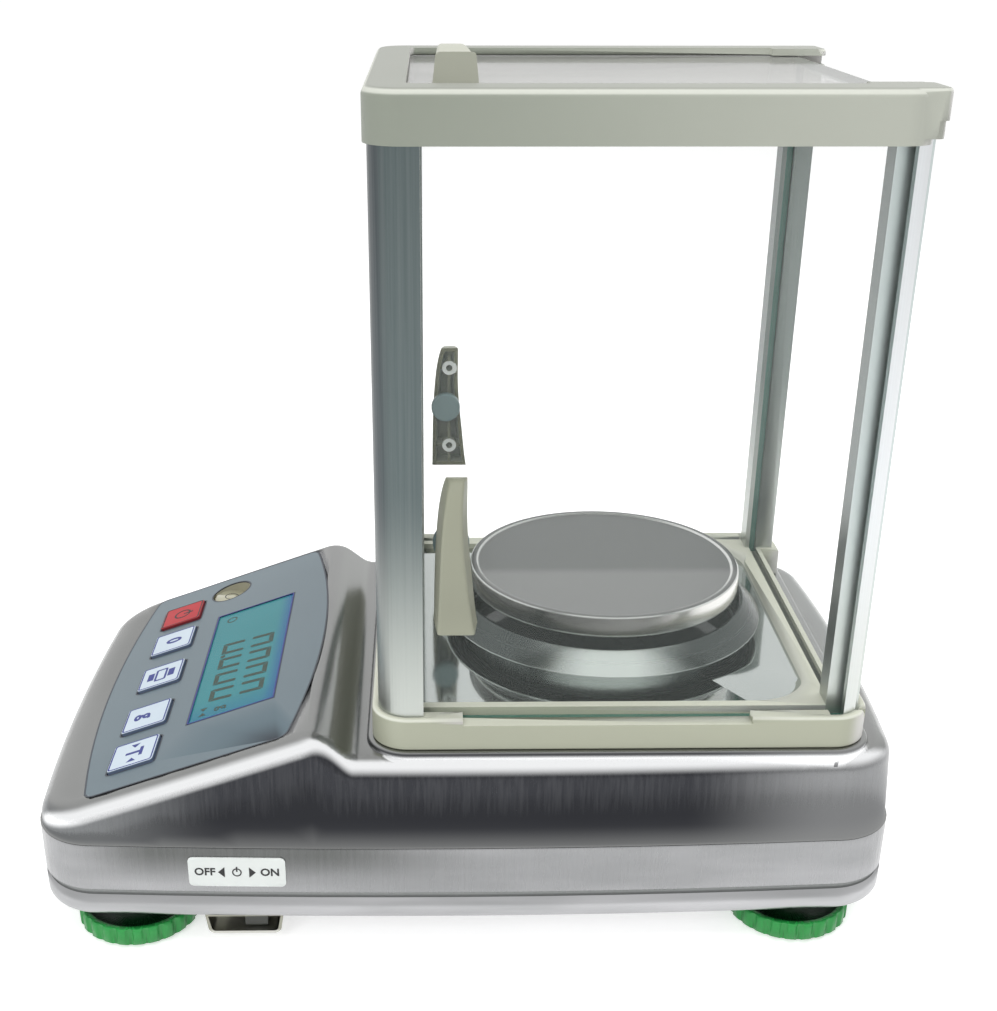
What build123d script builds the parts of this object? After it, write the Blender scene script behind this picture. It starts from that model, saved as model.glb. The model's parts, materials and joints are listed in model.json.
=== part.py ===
"""Precision laboratory balance with a glass draft shield.

Millimetres. X is the user's right, Y runs from the user to the back and Z is up.
The origin lies on the table under the middle of the housing.
"""

from build123d import *
from math import cos, pi, radians, sin, sqrt, tan
import os

# Housing outline
housing_length = 349.0
housing_width = 204.0
side_bulge = 5.0
end_bulge = 5.0
corner_radius = 25.0
sheet = 1.6
top_edge_radius = 9.0

# Housing heights above the table
tray_bottom_z = 14.5
tray_top_z = 25.0
shell_bottom_z = 28.0
band_top_z = 48.5
ledge_z = 85.5
deck_z = 87.5
deck_margin = 2.4
deck_edge_radius = 2.0
deck_root = 5.0
flank_draft = 3.4
band_step = 0.7

# Console slope, through one point of its surface
slope_deg = 19.3
slope_y = -65.0
slope_z = 94.3
crest_y = -58.0
crest_radius = 13.0
valley_y = -44.5
valley_radius = 9.0

# Console film and what it shows: u runs up the slope from the reference point
film_half_width = 90.0
film_front_u = -89.5
film_front_bulge = 8.5
film_back_u = -4.5
film_back_bulge = 10.5
film_corner_radius = 5.0
film_thickness = 0.5
window_x = 4.0
window_u = -32.5
window_width = 101.0
window_height = 38.5
window_thickness = 2.0
window_lip = 3.0
key_x = (-62.0, -33.5, 0.0, 36.5, 66.5)
key_names = ("key_on_off", "key_zero", "key_print", "key_unit", "key_tare")
key_u = -72.5
key_size = 20.0
key_corner_radius = 1.5
key_gap = 0.4
key_proud = 1.2
key_travel = 0.8
key_thickness = 3.8
key_flange_width = 1.3
key_flange_thickness = 0.8
key_edge_radius = 0.5
key_stem_radius = 3.0
key_stem_length = 4.2
level_x = -73.5
level_u = -48.8
level_radius = 9.2
level_wall = 1.2
level_depth = 12.0
vial_height = 7.2
level_dome = 1.2

# Boards
board_thickness = 1.6
keypad_board_size = (168.0, 26.0)
switch_size = (6.0, 6.0)
main_board_size = (130.0, 70.0)
main_board_y = -84.0
main_board_x = 0.0
standoff_radius = 3.0
standoff_height = 8.0

# Tray
tray_sheet = 1.4
tray_edge_radius = 4.0
tray_lip_top_z = 31.5
tray_lip_inset = 2.6
gasket_inset = 0.9
gasket_width = 1.6

# Levelling feet
foot_x = 75.5
foot_y = 135.0
wheel_radius = 25.0
wheel_height = 9.0
wheel_lobes = 24
wheel_lobe_depth = 1.2
wheel_wall = 3.0
wheel_floor = 2.2
pad_radius = 16.0
pad_height = 1.4
hub_radius = 8.0
hub_gap = 0.6
stud_radius = 4.0
stud_top_z = 34.0
stud_clearance = 0.08
stud_plate_radius = 9.0
stud_plate_top_z = 24.0
stud_seat_depth = 1.5
stud_seat_gap = 0.3
foot_travel = 3.0

# Weighing system
pan_y = 61.2
pan_radius = 57.5
pan_top_z = 126.6
pan_skirt_height = 9.2
pan_sheet = 1.5
pan_rim_width = 3.0
pan_rim_height = 0.8
pan_boss_radius = 9.0
pan_pin_radius = 5.0
pan_pin_clearance = 0.08
pan_pin_length = 6.0
ring_low_radius = 67.8
ring_low_z = 105.0
ring_top_z = 113.4
ring_sheet = 1.2
ring_gap = 1.3
support_radius = 26.0
support_arm_width = 10.0
post_radius = 7.0
post_hole_radius = 10.0
beam_length = 110.0
beam_width = 30.0
beam_height = 22.0
beam_gap_below = 5.0
base_block_length = 26.0
bracket_thickness = 4.0
bracket_lift = 2.5
bracket_gap = 0.3
bracket_foot = 18.0
sink_travel = 0.4

# Draft shield
shield_half_width = 91.7
shield_front_y = -35.5
shield_back_y = 152.0
shield_corner_radius = 13.0
base_overhang = 1.0
base_back_extra = 2.6
base_top_z = 100.8
top_frame_z = 310.6
top_frame_top_z = 328.3
rail_width = 16.2
front_rail_width = 14.5
end_block_width = 21.5
end_block_length = 21.5
column_size = 17.5
column_inset = 1.5
rear_column_length = 13.0
rear_column_shift = 1.8
rear_column_radius = 11.0
column_cover_length = 8.0
column_bore_radius = 2.2
column_seat = 5.0
glass_thickness = 3.0
door_gap = 0.35
door_plane_x = 84.5
door_front_y = -19.5
door_back_y = 148.5
door_edge_in_track = 3.6
door_lift_gap = 3.0
front_pane_inset = 5.5
back_pane_inset = 9.4
pane_depth = 2.6
pane_gap = 0.1
pane_end_gap = 0.3
pane_groove_depth = 2.0
lid_drop = 3.0
lid_half_width = 78.2
lid_gap = 0.35
lid_back_y = 141.5
lid_edge_in_rail = 3.2
mirror_drop = 2.4
mirror_thickness = 3.0
plate_gap = 0.2
plate_front_radius = 4.0
plate_rear_radius = 23.0
chamber_rail_width = 13.0
rear_rail_width = 10.5
plate_ledge = 8.0
notch_start_y = -1.5
notch_end_y = 109.2
notch_depth = 2.6
rear_recess = 6.5
cap_reach = 1.6
cap_low_reach = 0.5
cap_low_z = 318.2
cap_foot_z = 312.6

# Handles and their discs
handle_length = 57.5
handle_low_z = 139.0
handle_y = -4.3
handle_wall = 1.6
handle_form = {
    0.0: (16.2, 11.0, 0.0, 0.84),
    0.26: (14.2, 11.6, 0.8, 0.76),
    0.5: (12.4, 11.6, 1.3, 0.70),
    0.72: (10.8, 10.6, 1.3, 0.66),
    0.9: (9.4, 8.6, 0.6, 0.62),
    1.0: (7.7, 4.0, -0.2, 0.60),
}
handle_edge_radius = 1.4
handle_depth = 14.0
handle_foot_height = 1.5
handle_rib = 1.2
handle_rib_sink = 0.6
handle_boss_radius = 3.3
handle_boss_bore = 1.5
handle_boss_places = (10.0, 48.0)
lid_handle_x = 54.5
disc_radius = 6.7
disc_thickness = 3.6
disc_place = 30.5
disc_y = -6.0
disc_stem_radius = 2.6
disc_stem_reach = 3.0
disc_stem_gap = 0.3
disc_fit = 0.1

# Power switch under the right edge
switch_y = -89.0
guard_length = 31.5
guard_depth = 12.0
guard_drop = 9.6
guard_sheet = 1.2
guard_outer_x = 97.0
guard_taper = 1.4
guard_corner_radius = 3.0
lever_x = 90.0
lever_width = 9.0
lever_height = 6.0
lever_neck_width = 3.2
lever_neck_length = 8.0
lever_head_height = 3.0
lever_gap = 0.4
lever_travel = 9.0
switch_body_width = 11.0
switch_body_length = 26.0
switch_body_height = 11.0
plate_y = -90.0
plate_width = 38.2
plate_height = 13.4
plate_thickness = 0.5

# Back connections
inlet_x = -40.0
inlet_radius = 6.0
inlet_bore = 2.8
inlet_pin_radius = 1.0
socket_x = 22.0
socket_width = 31.0
socket_height = 12.5
socket_shell_width = 17.0
socket_shell_height = 8.3
socket_shell_reach = 3.4
socket_pins = 9
socket_pin_pitch = 2.77
socket_row_offset = 1.42
socket_nut_x = 12.5
socket_nut_radius = 2.4
socket_nut_height = 3.0
back_piece_proud = 1.5
back_piece_z = 38.5

os.makedirs("parts", exist_ok=True)

half_length = housing_length / 2
half_width = housing_width / 2
slope = radians(slope_deg)
console = Plane(origin=(0, slope_y, slope_z), x_dir=(1, 0, 0), z_dir=(0, -sin(slope), cos(slope)))


def export(shape, name):
    """Writes one sub-part."""
    shape.label = name
    export_step(shape, f"parts/{name}.step")


def box(x0, x1, y0, y1, z0, z1):
    """A box between two corners."""
    return Pos((x0 + x1) / 2, (y0 + y1) / 2, (z0 + z1) / 2) * Box(x1 - x0, y1 - y0, z1 - z0)


def tube_between(x, y, z0, z1, radius):
    """A vertical cylinder from z0 to z1."""
    return Pos(x, y, (z0 + z1) / 2) * Cylinder(radius, z1 - z0)


def on_console(shape):
    """Moves a shape from the console's own axes to its place."""
    return console.location * shape


def console_box(x, u, width, height, low, high, radius=0.0):
    """A block with rounded corners, upright on the console."""
    outline = Pos(x, u) * (RectangleRounded(width, height, radius) if radius else Rectangle(width, height))
    return on_console(extrude(Pos(0, 0, low) * outline, high - low))


def housing_plan(inset, z):
    """The housing's outline: four bulged sides with rounded corners."""
    x_mid = half_width - inset
    y_mid = half_length - inset
    x_end = x_mid - side_bulge
    y_end = y_mid - end_bulge
    corners = [(x_end, -y_end), (x_end, y_end), (-x_end, y_end), (-x_end, -y_end)]
    middles = [(x_mid, 0), (0, y_mid), (-x_mid, 0), (0, -y_mid)]
    sides = [ThreePointArc(corners[i], middles[i], corners[(i + 1) % 4]) for i in range(4)]
    face = make_face(Wire(sides))
    face = fillet(face.vertices(), corner_radius - inset)
    return Pos(0, 0, z) * face


def top_profile(drop):
    """Everything under the housing's top line, as a block across its whole width."""
    rise = tan(slope)
    front = -half_length - 10
    back = half_length + 10
    offset = drop / cos(slope)
    crest_z = slope_z + (crest_y - slope_y) * rise - offset
    points = [
        (front, 0),
        (front, slope_z + (front - slope_y) * rise - offset),
        (crest_y - drop * 0.3, crest_z - drop * 0.1),
        (valley_y - drop * 0.4, ledge_z - drop),
        (back, ledge_z - drop),
        (back, 0),
    ]
    face = make_face(Polyline(points + [points[0]]))
    crest = face.vertices().sort_by_distance((crest_y, crest_z, 0))[0]
    face = fillet(crest, crest_radius - drop)
    valley = face.vertices().sort_by_distance((valley_y, ledge_z - drop, 0))[0]
    face = fillet(valley, valley_radius + drop)
    side = Plane(origin=(0, 0, 0), x_dir=(0, 1, 0), z_dir=(1, 0, 0)) * face
    return extrude(side, housing_width, both=True)


def housing_block(inset, drop, low_z):
    """The housing's outer form, or its inside when inset and drop are the sheet."""
    top = ledge_z + 20
    lean = (top - band_top_z) * tan(radians(flank_draft))
    lower = extrude(housing_plan(inset, low_z), band_top_z - low_z)
    waist = housing_plan(inset + band_step, band_top_z)
    upper = loft([waist, housing_plan(inset + band_step + lean, top)], ruled=True) & top_profile(drop)
    rim = []
    for edge in upper.edges():
        middle = edge.center()
        ends = edge.end_point() - edge.start_point()
        level = sqrt(ends.X ** 2 + ends.Y ** 2)
        outside = abs(middle.X) > half_width - 20 or abs(middle.Y) > half_length - 20
        if middle.Z > band_top_z + 4 and outside and level > 3.6:
            rim.append(edge)
    upper = fillet(rim, top_edge_radius - drop)
    return lower + upper


def film_outline():
    """The console film's outline on the console's own axes."""
    near = ThreePointArc(
        (-film_half_width, film_front_u), (0, film_front_u - film_front_bulge), (film_half_width, film_front_u)
    )
    far = ThreePointArc(
        (film_half_width, film_back_u), (0, film_back_u + film_back_bulge), (-film_half_width, film_back_u)
    )
    right = Line(near @ 1, far @ 0)
    left = Line(far @ 1, near @ 0)
    face = make_face(Wire([near, right, far, left]))
    return fillet(face.vertices(), film_corner_radius)


def level_cylinder(radius, low, high):
    """A vertical cylinder at the level, by height above the console point over its centre."""
    centre = console.from_local_coords(Vector(level_x, level_u, 0))
    return tube_between(centre.X, centre.Y, centre.Z + low, centre.Z + high, radius)


def make_upper_housing():
    """The drawn shell with its openings."""
    shell = housing_block(0, 0, shell_bottom_z)
    deck = extrude(
        shield_plan(base_overhang + deck_margin, ledge_z - deck_root, base_back_extra),
        deck_z - ledge_z + deck_root,
    )
    deck = fillet(deck.faces().sort_by(Axis.Z)[-1].edges(), deck_edge_radius)
    shell = shell + deck
    under_deck = extrude(
        shield_plan(base_overhang + deck_margin - sheet, ledge_z - deck_root, base_back_extra),
        deck_z - sheet - ledge_z + deck_root,
    )
    shell = shell - housing_block(sheet, sheet, shell_bottom_z - 1) - under_deck
    recess = on_console(extrude(Pos(0, 0, -film_thickness) * film_outline(), film_thickness + 6))
    shell = shell - recess
    opening = (window_width - 2 * window_lip, window_height - 2 * window_lip)
    shell = shell - console_box(window_x, window_u, *opening, -9, 1)
    hole = key_size + 2 * key_gap
    for x in key_x:
        shell = shell - console_box(x, key_u, hole, hole, -9, 1, key_corner_radius)
    shell = shell - level_cylinder(level_radius + level_wall, -14, 6)
    shell = shell - tube_between(0, pan_y, ledge_z - 8, deck_z + 1, post_hole_radius)
    shell = shell - Pos(inlet_x, half_length, back_piece_z) * Rot(90, 0, 0) * Cylinder(inlet_radius, 30)
    shell = shell - box(
        socket_x - socket_shell_width / 2 - 1,
        socket_x + socket_shell_width / 2 + 1,
        half_length - 15,
        half_length + 5,
        back_piece_z - socket_shell_height / 2 - 0.6,
        back_piece_z + socket_shell_height / 2 + 0.6,
    )
    return shell


def foot_places():
    """The four feet, with their names."""
    return {
        "front_right": (foot_x, -foot_y),
        "front_left": (-foot_x, -foot_y),
        "back_right": (foot_x, foot_y),
        "back_left": (-foot_x, foot_y),
    }


def make_bottom_tray():
    """The tray with its joggled lip, stud plates and pillars."""
    outer = extrude(housing_plan(0, tray_bottom_z), tray_top_z - tray_bottom_z)
    outer = fillet(outer.faces().sort_by(Axis.Z)[0].edges(), tray_edge_radius)
    inner = extrude(
        housing_plan(tray_sheet, tray_bottom_z + tray_sheet), tray_top_z - tray_bottom_z - 2 * tray_sheet
    )
    inner = fillet(inner.faces().sort_by(Axis.Z)[0].edges(), tray_edge_radius - tray_sheet)
    lip_low = tray_top_z - tray_sheet
    lip = extrude(housing_plan(tray_lip_inset, lip_low), tray_lip_top_z - lip_low)
    mouth_inset = tray_lip_inset + tray_sheet
    mouth = extrude(housing_plan(mouth_inset, tray_top_z - tray_sheet - 1), tray_lip_top_z - tray_top_z + 6)
    tray = outer + lip - inner - mouth
    for x, y in foot_places().values():
        tray = tray + tube_between(x, y, tray_bottom_z, stud_plate_top_z, stud_plate_radius)
        tray = tray - tube_between(x, y, tray_bottom_z - 1, stud_plate_top_z + 1, stud_radius + stud_clearance)
    return tray - lever_slot(tray_bottom_z - 1, tray_bottom_z + tray_sheet + 1)


def make_gasket():
    """The dark strip in the seam."""
    outer = extrude(housing_plan(gasket_inset, tray_top_z), shell_bottom_z - tray_top_z)
    inner = extrude(housing_plan(gasket_inset + gasket_width, tray_top_z - 1), shell_bottom_z - tray_top_z + 2)
    return outer - inner


def make_keypad_overlay():
    """The printed film, open at the keys, the window and the level."""
    film = on_console(extrude(Pos(0, 0, -film_thickness) * film_outline(), film_thickness))
    film = film - console_box(window_x, window_u, window_width, window_height, -2, 2)
    hole = key_size + 2 * key_gap
    for x in key_x:
        film = film - console_box(x, key_u, hole, hole, -2, 2, key_corner_radius)
    return film - level_cylinder(level_radius, -6, 6)


def make_display_window():
    """The clear cover, with a step down into the housing's opening."""
    gap = 0.2
    face = console_box(window_x, window_u, window_width - gap, window_height - gap, -film_thickness, 0.1)
    step = console_box(
        window_x,
        window_u,
        window_width - 2 * window_lip - gap,
        window_height - 2 * window_lip - gap,
        -window_thickness,
        -film_thickness,
    )
    return face + step


def make_display_module():
    """The liquid crystal panel in its carrier, right under the window."""
    top = -window_thickness
    carrier = console_box(window_x, window_u, window_width + 6, window_height + 6, top - 9, top - 2.5)
    glass = console_box(
        window_x, window_u, window_width - 2 * window_lip - 2, window_height - 2 * window_lip - 2, top - 2.5, top
    )
    module = carrier + glass
    for x in (window_x - window_width / 2, window_x + window_width / 2):
        for u in (window_u - window_height / 2, window_u + window_height / 2):
            module = module + console_box(x, u, 6, 6, top - 2.5, -sheet - 0.02)
    return module


def key_stop_low():
    """How far the tops of the key switches lie under the console's surface."""
    return key_proud - key_thickness - key_stem_length - key_travel - 0.3


def make_key(x):
    """A key cap with rounded edges, a retaining flange under the shell and a stem."""
    low = key_proud - key_thickness
    cap = extrude(Pos(0, 0, low) * RectangleRounded(key_size, key_size, key_corner_radius), key_thickness)
    cap = fillet(cap.faces().sort_by(Axis.Z)[-1].edges(), key_edge_radius)
    flange_size = key_size + 2 * key_flange_width
    flange = Pos(0, 0, low) * RectangleRounded(flange_size, flange_size, key_corner_radius)
    flange = extrude(flange, key_flange_thickness)
    stem = Pos(0, 0, low - key_stem_length / 2) * Cylinder(key_stem_radius, key_stem_length)
    return on_console(Pos(x, key_u, 0) * (cap + flange + stem))


def make_keypad_board():
    """The board under the keys, with one switch for each and two long standoffs."""
    switch_top = key_stop_low()
    board_top = switch_top - 3.5
    board = console_box(
        0, key_u, keypad_board_size[0], keypad_board_size[1], board_top - board_thickness, board_top, 2
    )
    for x in key_x:
        board = board + console_box(x, key_u, switch_size[0], switch_size[1], board_top, switch_top - 0.8)
        board = board + on_console(Pos(x, key_u, switch_top - 0.4) * Cylinder(1.7, 0.8))
    for x in ((key_x[0] + key_x[1]) / 2, (key_x[2] + key_x[3]) / 2):
        post = on_console(Pos(x, key_u, (board_top - sheet) / 2) * Cylinder(2.5, -sheet - board_top))
        board = board + post
    return board


def make_level_cup():
    """The level's cup, cut off along the console."""
    cup = level_cylinder(level_radius + level_wall, -level_depth, 8)
    cup = cup - level_cylinder(level_radius, -level_depth + 2, 9)
    above = on_console(Pos(level_x, level_u, 20 - film_thickness) * Box(60, 60, 40))
    return cup - above


def make_level_vial():
    """The round vial with a slightly domed top."""
    body = level_cylinder(level_radius - 0.6, -level_depth + 2, -level_depth + 2 + vial_height)
    return chamfer(body.faces().sort_by(Axis.Z)[-1].edges(), level_dome)


def shield_plan(grow, z, extra=0.0):
    """The draft shield's outline with rounded corners, longer at the back by an extra."""
    y0 = shield_front_y - grow
    y1 = shield_back_y + grow + extra
    outline = RectangleRounded(2 * (shield_half_width + grow), y1 - y0, shield_corner_radius + grow)
    return Pos(0, (y0 + y1) / 2, z) * outline


def column_box(sx, end):
    """The square that a column fills, as x0, x1, y0, y1."""
    x1 = shield_half_width - column_inset
    x0 = x1 - column_size
    if end == "front":
        y0 = shield_front_y + column_inset
        y1 = y0 + column_size
    else:
        y1 = shield_back_y - column_inset + rear_column_shift
        y0 = y1 - rear_column_length
    return (x0, x1, y0, y1) if sx > 0 else (-x1, -x0, y0, y1)


def column_plan(sx, end):
    """The column's square with its outer corner rounded."""
    x0, x1, y0, y1 = column_box(sx, end)
    face = Pos((x0 + x1) / 2, (y0 + y1) / 2) * Rectangle(x1 - x0, y1 - y0)
    corner = (x1 if sx > 0 else x0, y0 if end == "front" else y1, 0)
    vertex = face.vertices().sort_by_distance(corner)[0]
    return fillet(vertex, shield_corner_radius - column_inset if end == "front" else rear_column_radius)


def door_slot(y0, y1, z0, z1, sx):
    """The space of a door's glass with its running gaps."""
    half = glass_thickness / 2 + door_gap
    x = sx * door_plane_x
    return box(x - half, x + half, y0, y1, z0, z1)


def pane_y(end):
    """Where the fixed front or rear pane stands."""
    y0, y1 = column_box(1, end)[2:]
    return y0 + front_pane_inset if end == "front" else y1 - back_pane_inset


def pane_slot(end, z0, z1):
    """The channels and grooves of a fixed pane, right across the shield."""
    half = glass_thickness / 2 + pane_gap
    reach = column_box(1, end)[0] + pane_depth
    return box(-reach, reach, pane_y(end) - half, pane_y(end) + half, z0, z1)


def column_span():
    """The columns' bottom and top."""
    return base_top_z - column_seat, top_frame_z + column_seat


def make_column(sx, end):
    """One aluminium corner column with its glass channels and hollow core."""
    z0, z1 = column_span()
    column = extrude(Pos(0, 0, z0) * column_plan(sx, end), z1 - z0)
    x0, x1, y0, y1 = column_box(sx, end)
    column = column - pane_slot(end, z0 - 1, z1 + 1)
    if end == "front":
        column = column - door_slot(door_front_y - 0.6, y1 + 1, z0 - 1, z1 + 1, sx)
    else:
        outer = sx * (door_plane_x - glass_thickness / 2 - door_gap)
        edges = sorted((outer, sx * half_width))
        column = column - box(*edges, y0 - 1, y1 + 1, z0 - 1, z1 + 1)
    mid_x = (x0 + x1) / 2 - sx * (x1 - x0) / 6
    mid_y = (y0 + y1) / 2 + 1.6
    return column - tube_between(mid_x, mid_y, z0 - 1, z1 + 1, column_bore_radius)


def make_column_cover(sx):
    """The quarter-round cover outside the door's way at a rear column."""
    z0, z1 = column_span()
    cover = extrude(Pos(0, 0, z0) * column_plan(sx, "back"), z1 - z0)
    inner = sx * (door_plane_x + glass_thickness / 2 + door_gap)
    edges = sorted((inner, sx * half_width))
    y1 = column_box(sx, "back")[3]
    return cover & box(*edges, y1 - column_cover_length, y1, z0, z1)


def column_solids(z0, z1):
    """The columns' full outlines between two heights, to cut their seats."""
    solids = []
    for sx in (-1, 1):
        for end in ("front", "back"):
            solids.append(extrude(Pos(0, 0, z0) * column_plan(sx, end), z1 - z0))
    return solids


def back_rail_y():
    """The outer face of the base frame's rear rail."""
    return shield_back_y + base_overhang - rear_recess


def plate_outline(gap, z):
    """The mirror plate's outline, or its recess when the gap is none."""
    x = shield_half_width - chamber_rail_width - gap
    y0 = shield_front_y + front_rail_width + gap
    y1 = back_rail_y() - rear_rail_width - gap
    near = max(plate_front_radius - gap, 1.0)
    far = plate_rear_radius - gap
    near_half = Pos(0, (y0 + y1) / 2 - far / 2) * RectangleRounded(2 * x, y1 - y0 - far, near)
    far_half = Pos(0, (y0 + y1) / 2 + near) * RectangleRounded(2 * x, y1 - y0 - 2 * near, far)
    return Pos(0, 0, z) * (near_half + far_half)


def make_base_frame():
    """The moulded base frame: seats, door tracks, plate recess, pane grooves and side notches."""
    frame = extrude(shield_plan(base_overhang, deck_z, base_back_extra), base_top_z - deck_z)
    frame = fillet(frame.faces().sort_by(Axis.Z)[-1].edges(), 1.6)
    frame = fillet(frame.faces().sort_by(Axis.Z)[0].edges(), 0.8)
    plate_low = base_top_z - mirror_drop - mirror_thickness
    recess = extrude(plate_outline(0, plate_low), mirror_drop + mirror_thickness + 1)
    well = extrude(plate_outline(plate_ledge, deck_z - 1), base_top_z - deck_z)
    frame = frame - recess - well
    for seat in column_solids(base_top_z - column_seat, base_top_z + 1):
        frame = frame - seat
    outer = shield_half_width + base_overhang
    for sx in (-1, 1):
        track_low = base_top_z - door_edge_in_track
        frame = frame - door_slot(door_front_y - 1, shield_back_y + 20, track_low, base_top_z + 1, sx)
        edges = sorted((sx * door_plane_x, sx * (outer + 1)))
        frame = frame - box(*edges, notch_start_y, notch_end_y, base_top_z - notch_depth, base_top_z + 1)
    x_edge = column_box(1, "back")[0]
    frame = frame - box(-x_edge + 2, x_edge - 2, back_rail_y(), shield_back_y + 5, deck_z - 1, base_top_z + 1)
    for end in ("front", "back"):
        frame = frame - pane_slot(end, base_top_z - pane_groove_depth, base_top_z + 1)
    return frame


def make_mirror_plate():
    """The polished floor plate, notched round the front columns, with the hole for the pan's post."""
    low = base_top_z - mirror_drop - mirror_thickness
    high = low + mirror_thickness
    plate = extrude(plate_outline(plate_gap, low), mirror_thickness)
    for sx in (-1, 1):
        x0, x1, y0, y1 = column_box(sx, "front")
        plate = plate - box(x0 - plate_gap, x1 + plate_gap, y0 - plate_gap, y1 + plate_gap, low - 1, high + 1)
    return plate - tube_between(0, pan_y, low - 1, high + 1, post_hole_radius)


def lid_slot():
    """The lid's way through the top frame, with its running gaps."""
    lid_top = top_frame_top_z - lid_drop
    x = lid_half_width + lid_gap
    y0 = lid_front_y() - 1
    return box(-x, x, y0, shield_back_y + 20, lid_top - glass_thickness - lid_gap, lid_top + lid_gap)


def lid_front_y():
    """The lid's front edge, inside the front rail's groove."""
    return shield_front_y + front_rail_width - lid_edge_in_rail


def rear_cap(sx):
    """The stepped cap behind a rear corner of the top frame."""
    x0 = shield_half_width - end_block_width
    x1 = shield_half_width - 1.5
    y0 = shield_back_y - shield_corner_radius
    y1 = shield_back_y + cap_reach
    y2 = shield_back_y + cap_low_reach
    upper = Pos((x0 + x1) / 2, (y0 + y1) / 2, cap_low_z) * RectangleRounded(x1 - x0, y1 - y0, 3)
    lower = Pos((x0 + x1) / 2, (y0 + y2) / 2, cap_foot_z) * RectangleRounded(x1 - x0, y2 - y0, 3)
    upper = extrude(upper, top_frame_top_z - cap_low_z)
    upper = fillet(upper.faces().sort_by(Axis.Z)[-1].edges(), 1.5)
    cap = upper + extrude(lower, cap_low_z - cap_foot_z)
    return cap if sx > 0 else mirror(cap, about=Plane.YZ)


def make_top_frame():
    """The moulded top frame, open at the back, with tracks for the doors and the lid."""
    frame = extrude(shield_plan(0, top_frame_z), top_frame_top_z - top_frame_z)
    frame = fillet(frame.faces().sort_by(Axis.Z)[-1].edges(), 3.0)
    x_in = shield_half_width - rail_width
    x_block = shield_half_width - end_block_width
    y_front = shield_front_y + front_rail_width
    y_block = shield_back_y - end_block_length
    mouth = box(-x_in, x_in, y_front, y_block, top_frame_z - 1, top_frame_top_z + 1)
    mouth = fillet(mouth.edges().filter_by(Axis.Z).group_by(Axis.Y)[0], 3)
    rear = box(-x_block, x_block, y_block - 1, shield_back_y + 5, top_frame_z - 1, top_frame_top_z + 1)
    frame = frame + rear_cap(1) + rear_cap(-1) - mouth - rear - lid_slot()
    for seat in column_solids(top_frame_z - 1, top_frame_z + column_seat):
        frame = frame - seat
    for sx in (-1, 1):
        track_top = top_frame_z + door_edge_in_track + door_lift_gap
        frame = frame - door_slot(door_front_y - 1, shield_back_y + 20, top_frame_z - 1, track_top, sx)
    frame = frame - pane_slot("front", top_frame_z - 1, top_frame_z + pane_groove_depth)
    return frame - pane_slot("back", top_frame_z - 1, rear_pane_top_z() + pane_end_gap)


def rear_pane_top_z():
    """The rear pane reaches up to just under the lid."""
    return top_frame_top_z - lid_drop - glass_thickness - lid_gap - pane_end_gap


def make_pane(end):
    """The fixed glass at the front or the back, held in the columns' channels."""
    half = glass_thickness / 2
    x = column_box(1, end)[0] + pane_depth - pane_end_gap
    low = base_top_z - pane_groove_depth
    high = top_frame_z + pane_groove_depth - pane_end_gap if end == "front" else rear_pane_top_z()
    return box(-x, x, pane_y(end) - half, pane_y(end) + half, low, high)


def make_door_glass(sx):
    """A sliding pane with the hole for its handle's stem."""
    half = glass_thickness / 2
    x = sx * door_plane_x
    low = base_top_z - door_edge_in_track + door_gap
    high = top_frame_z + door_edge_in_track
    glass = box(x - half, x + half, door_front_y, door_back_y, low, high)
    hole = Pos(x, disc_y, handle_low_z + disc_place) * Rot(0, 90, 0)
    return glass - hole * Cylinder(disc_stem_radius + disc_stem_gap, 2 * glass_thickness)


def handle_section(place, inset):
    """A handle's cross-section at a share of its length, drawn in by an inset."""
    width, height, shift, crown_share = handle_form[place]
    foot = width / 2 - inset
    crown = width * crown_share / 2 - inset * 0.6
    top = height - inset
    face = make_face(
        Polyline(
            (shift - foot, 0),
            (shift + foot, 0),
            (shift + foot - 0.3, handle_foot_height),
            (shift + crown, top),
            (shift - crown, top),
            (shift - foot + 0.3, handle_foot_height),
            (shift - foot, 0),
        )
    )
    crown_corners = [v for v in face.vertices() if v.Y > top - 0.01]
    return fillet(crown_corners, handle_edge_radius - inset * 0.4)


def handle_blank(inset):
    """The handle's form along +Z, with its height along +Y."""
    sections = []
    for place in handle_form:
        z = inset + place * (handle_length - 2 * inset)
        sections.append(Pos(0, 0, z) * handle_section(place, inset))
    return loft(sections)


def make_handle():
    """The moulded handle: a tapered grip, hollow behind, with ribs and two bosses.

    It stands along +Z with its open back on the plane Y=0 and grips towards +Y.
    """
    grip = handle_blank(0)
    shell = grip - handle_blank(handle_wall)
    depth = handle_depth
    spine_top = handle_length - handle_wall
    inside = [box(-handle_rib / 2, handle_rib / 2, handle_rib_sink, depth, handle_wall, spine_top)]
    for z in handle_boss_places:
        inside.append(box(-depth, depth, handle_rib_sink, depth, z - handle_rib / 2, z + handle_rib / 2))
        inside.append(Pos(0, depth / 2, z) * Rot(90, 0, 0) * Cylinder(handle_boss_radius, depth))
    stem_place = Pos(handle_y - disc_y, depth / 2, disc_place)
    inside.append(stem_place * Rot(90, 0, 0) * Cylinder(disc_stem_radius + handle_wall, depth))
    for piece in inside:
        shell = shell + (piece & grip)
    for z in handle_boss_places:
        shell = shell - Pos(0, 2, z) * Rot(90, 0, 0) * Cylinder(handle_boss_bore, 8)
    socket_depth = disc_stem_reach + disc_stem_gap
    socket = Pos(handle_y - disc_y, socket_depth / 2, disc_place) * Rot(90, 0, 0)
    return shell - socket * Cylinder(disc_stem_radius + disc_fit, socket_depth)


def place_side_handle(handle, sx):
    """Puts a handle on the outside of a side door."""
    face_x = door_plane_x + glass_thickness / 2
    place = Plane(origin=(face_x, handle_y, handle_low_z), x_dir=(0, -1, 0), z_dir=(0, 0, 1))
    placed = place.location * handle
    return placed if sx > 0 else mirror(placed, about=Plane.YZ)


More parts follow.
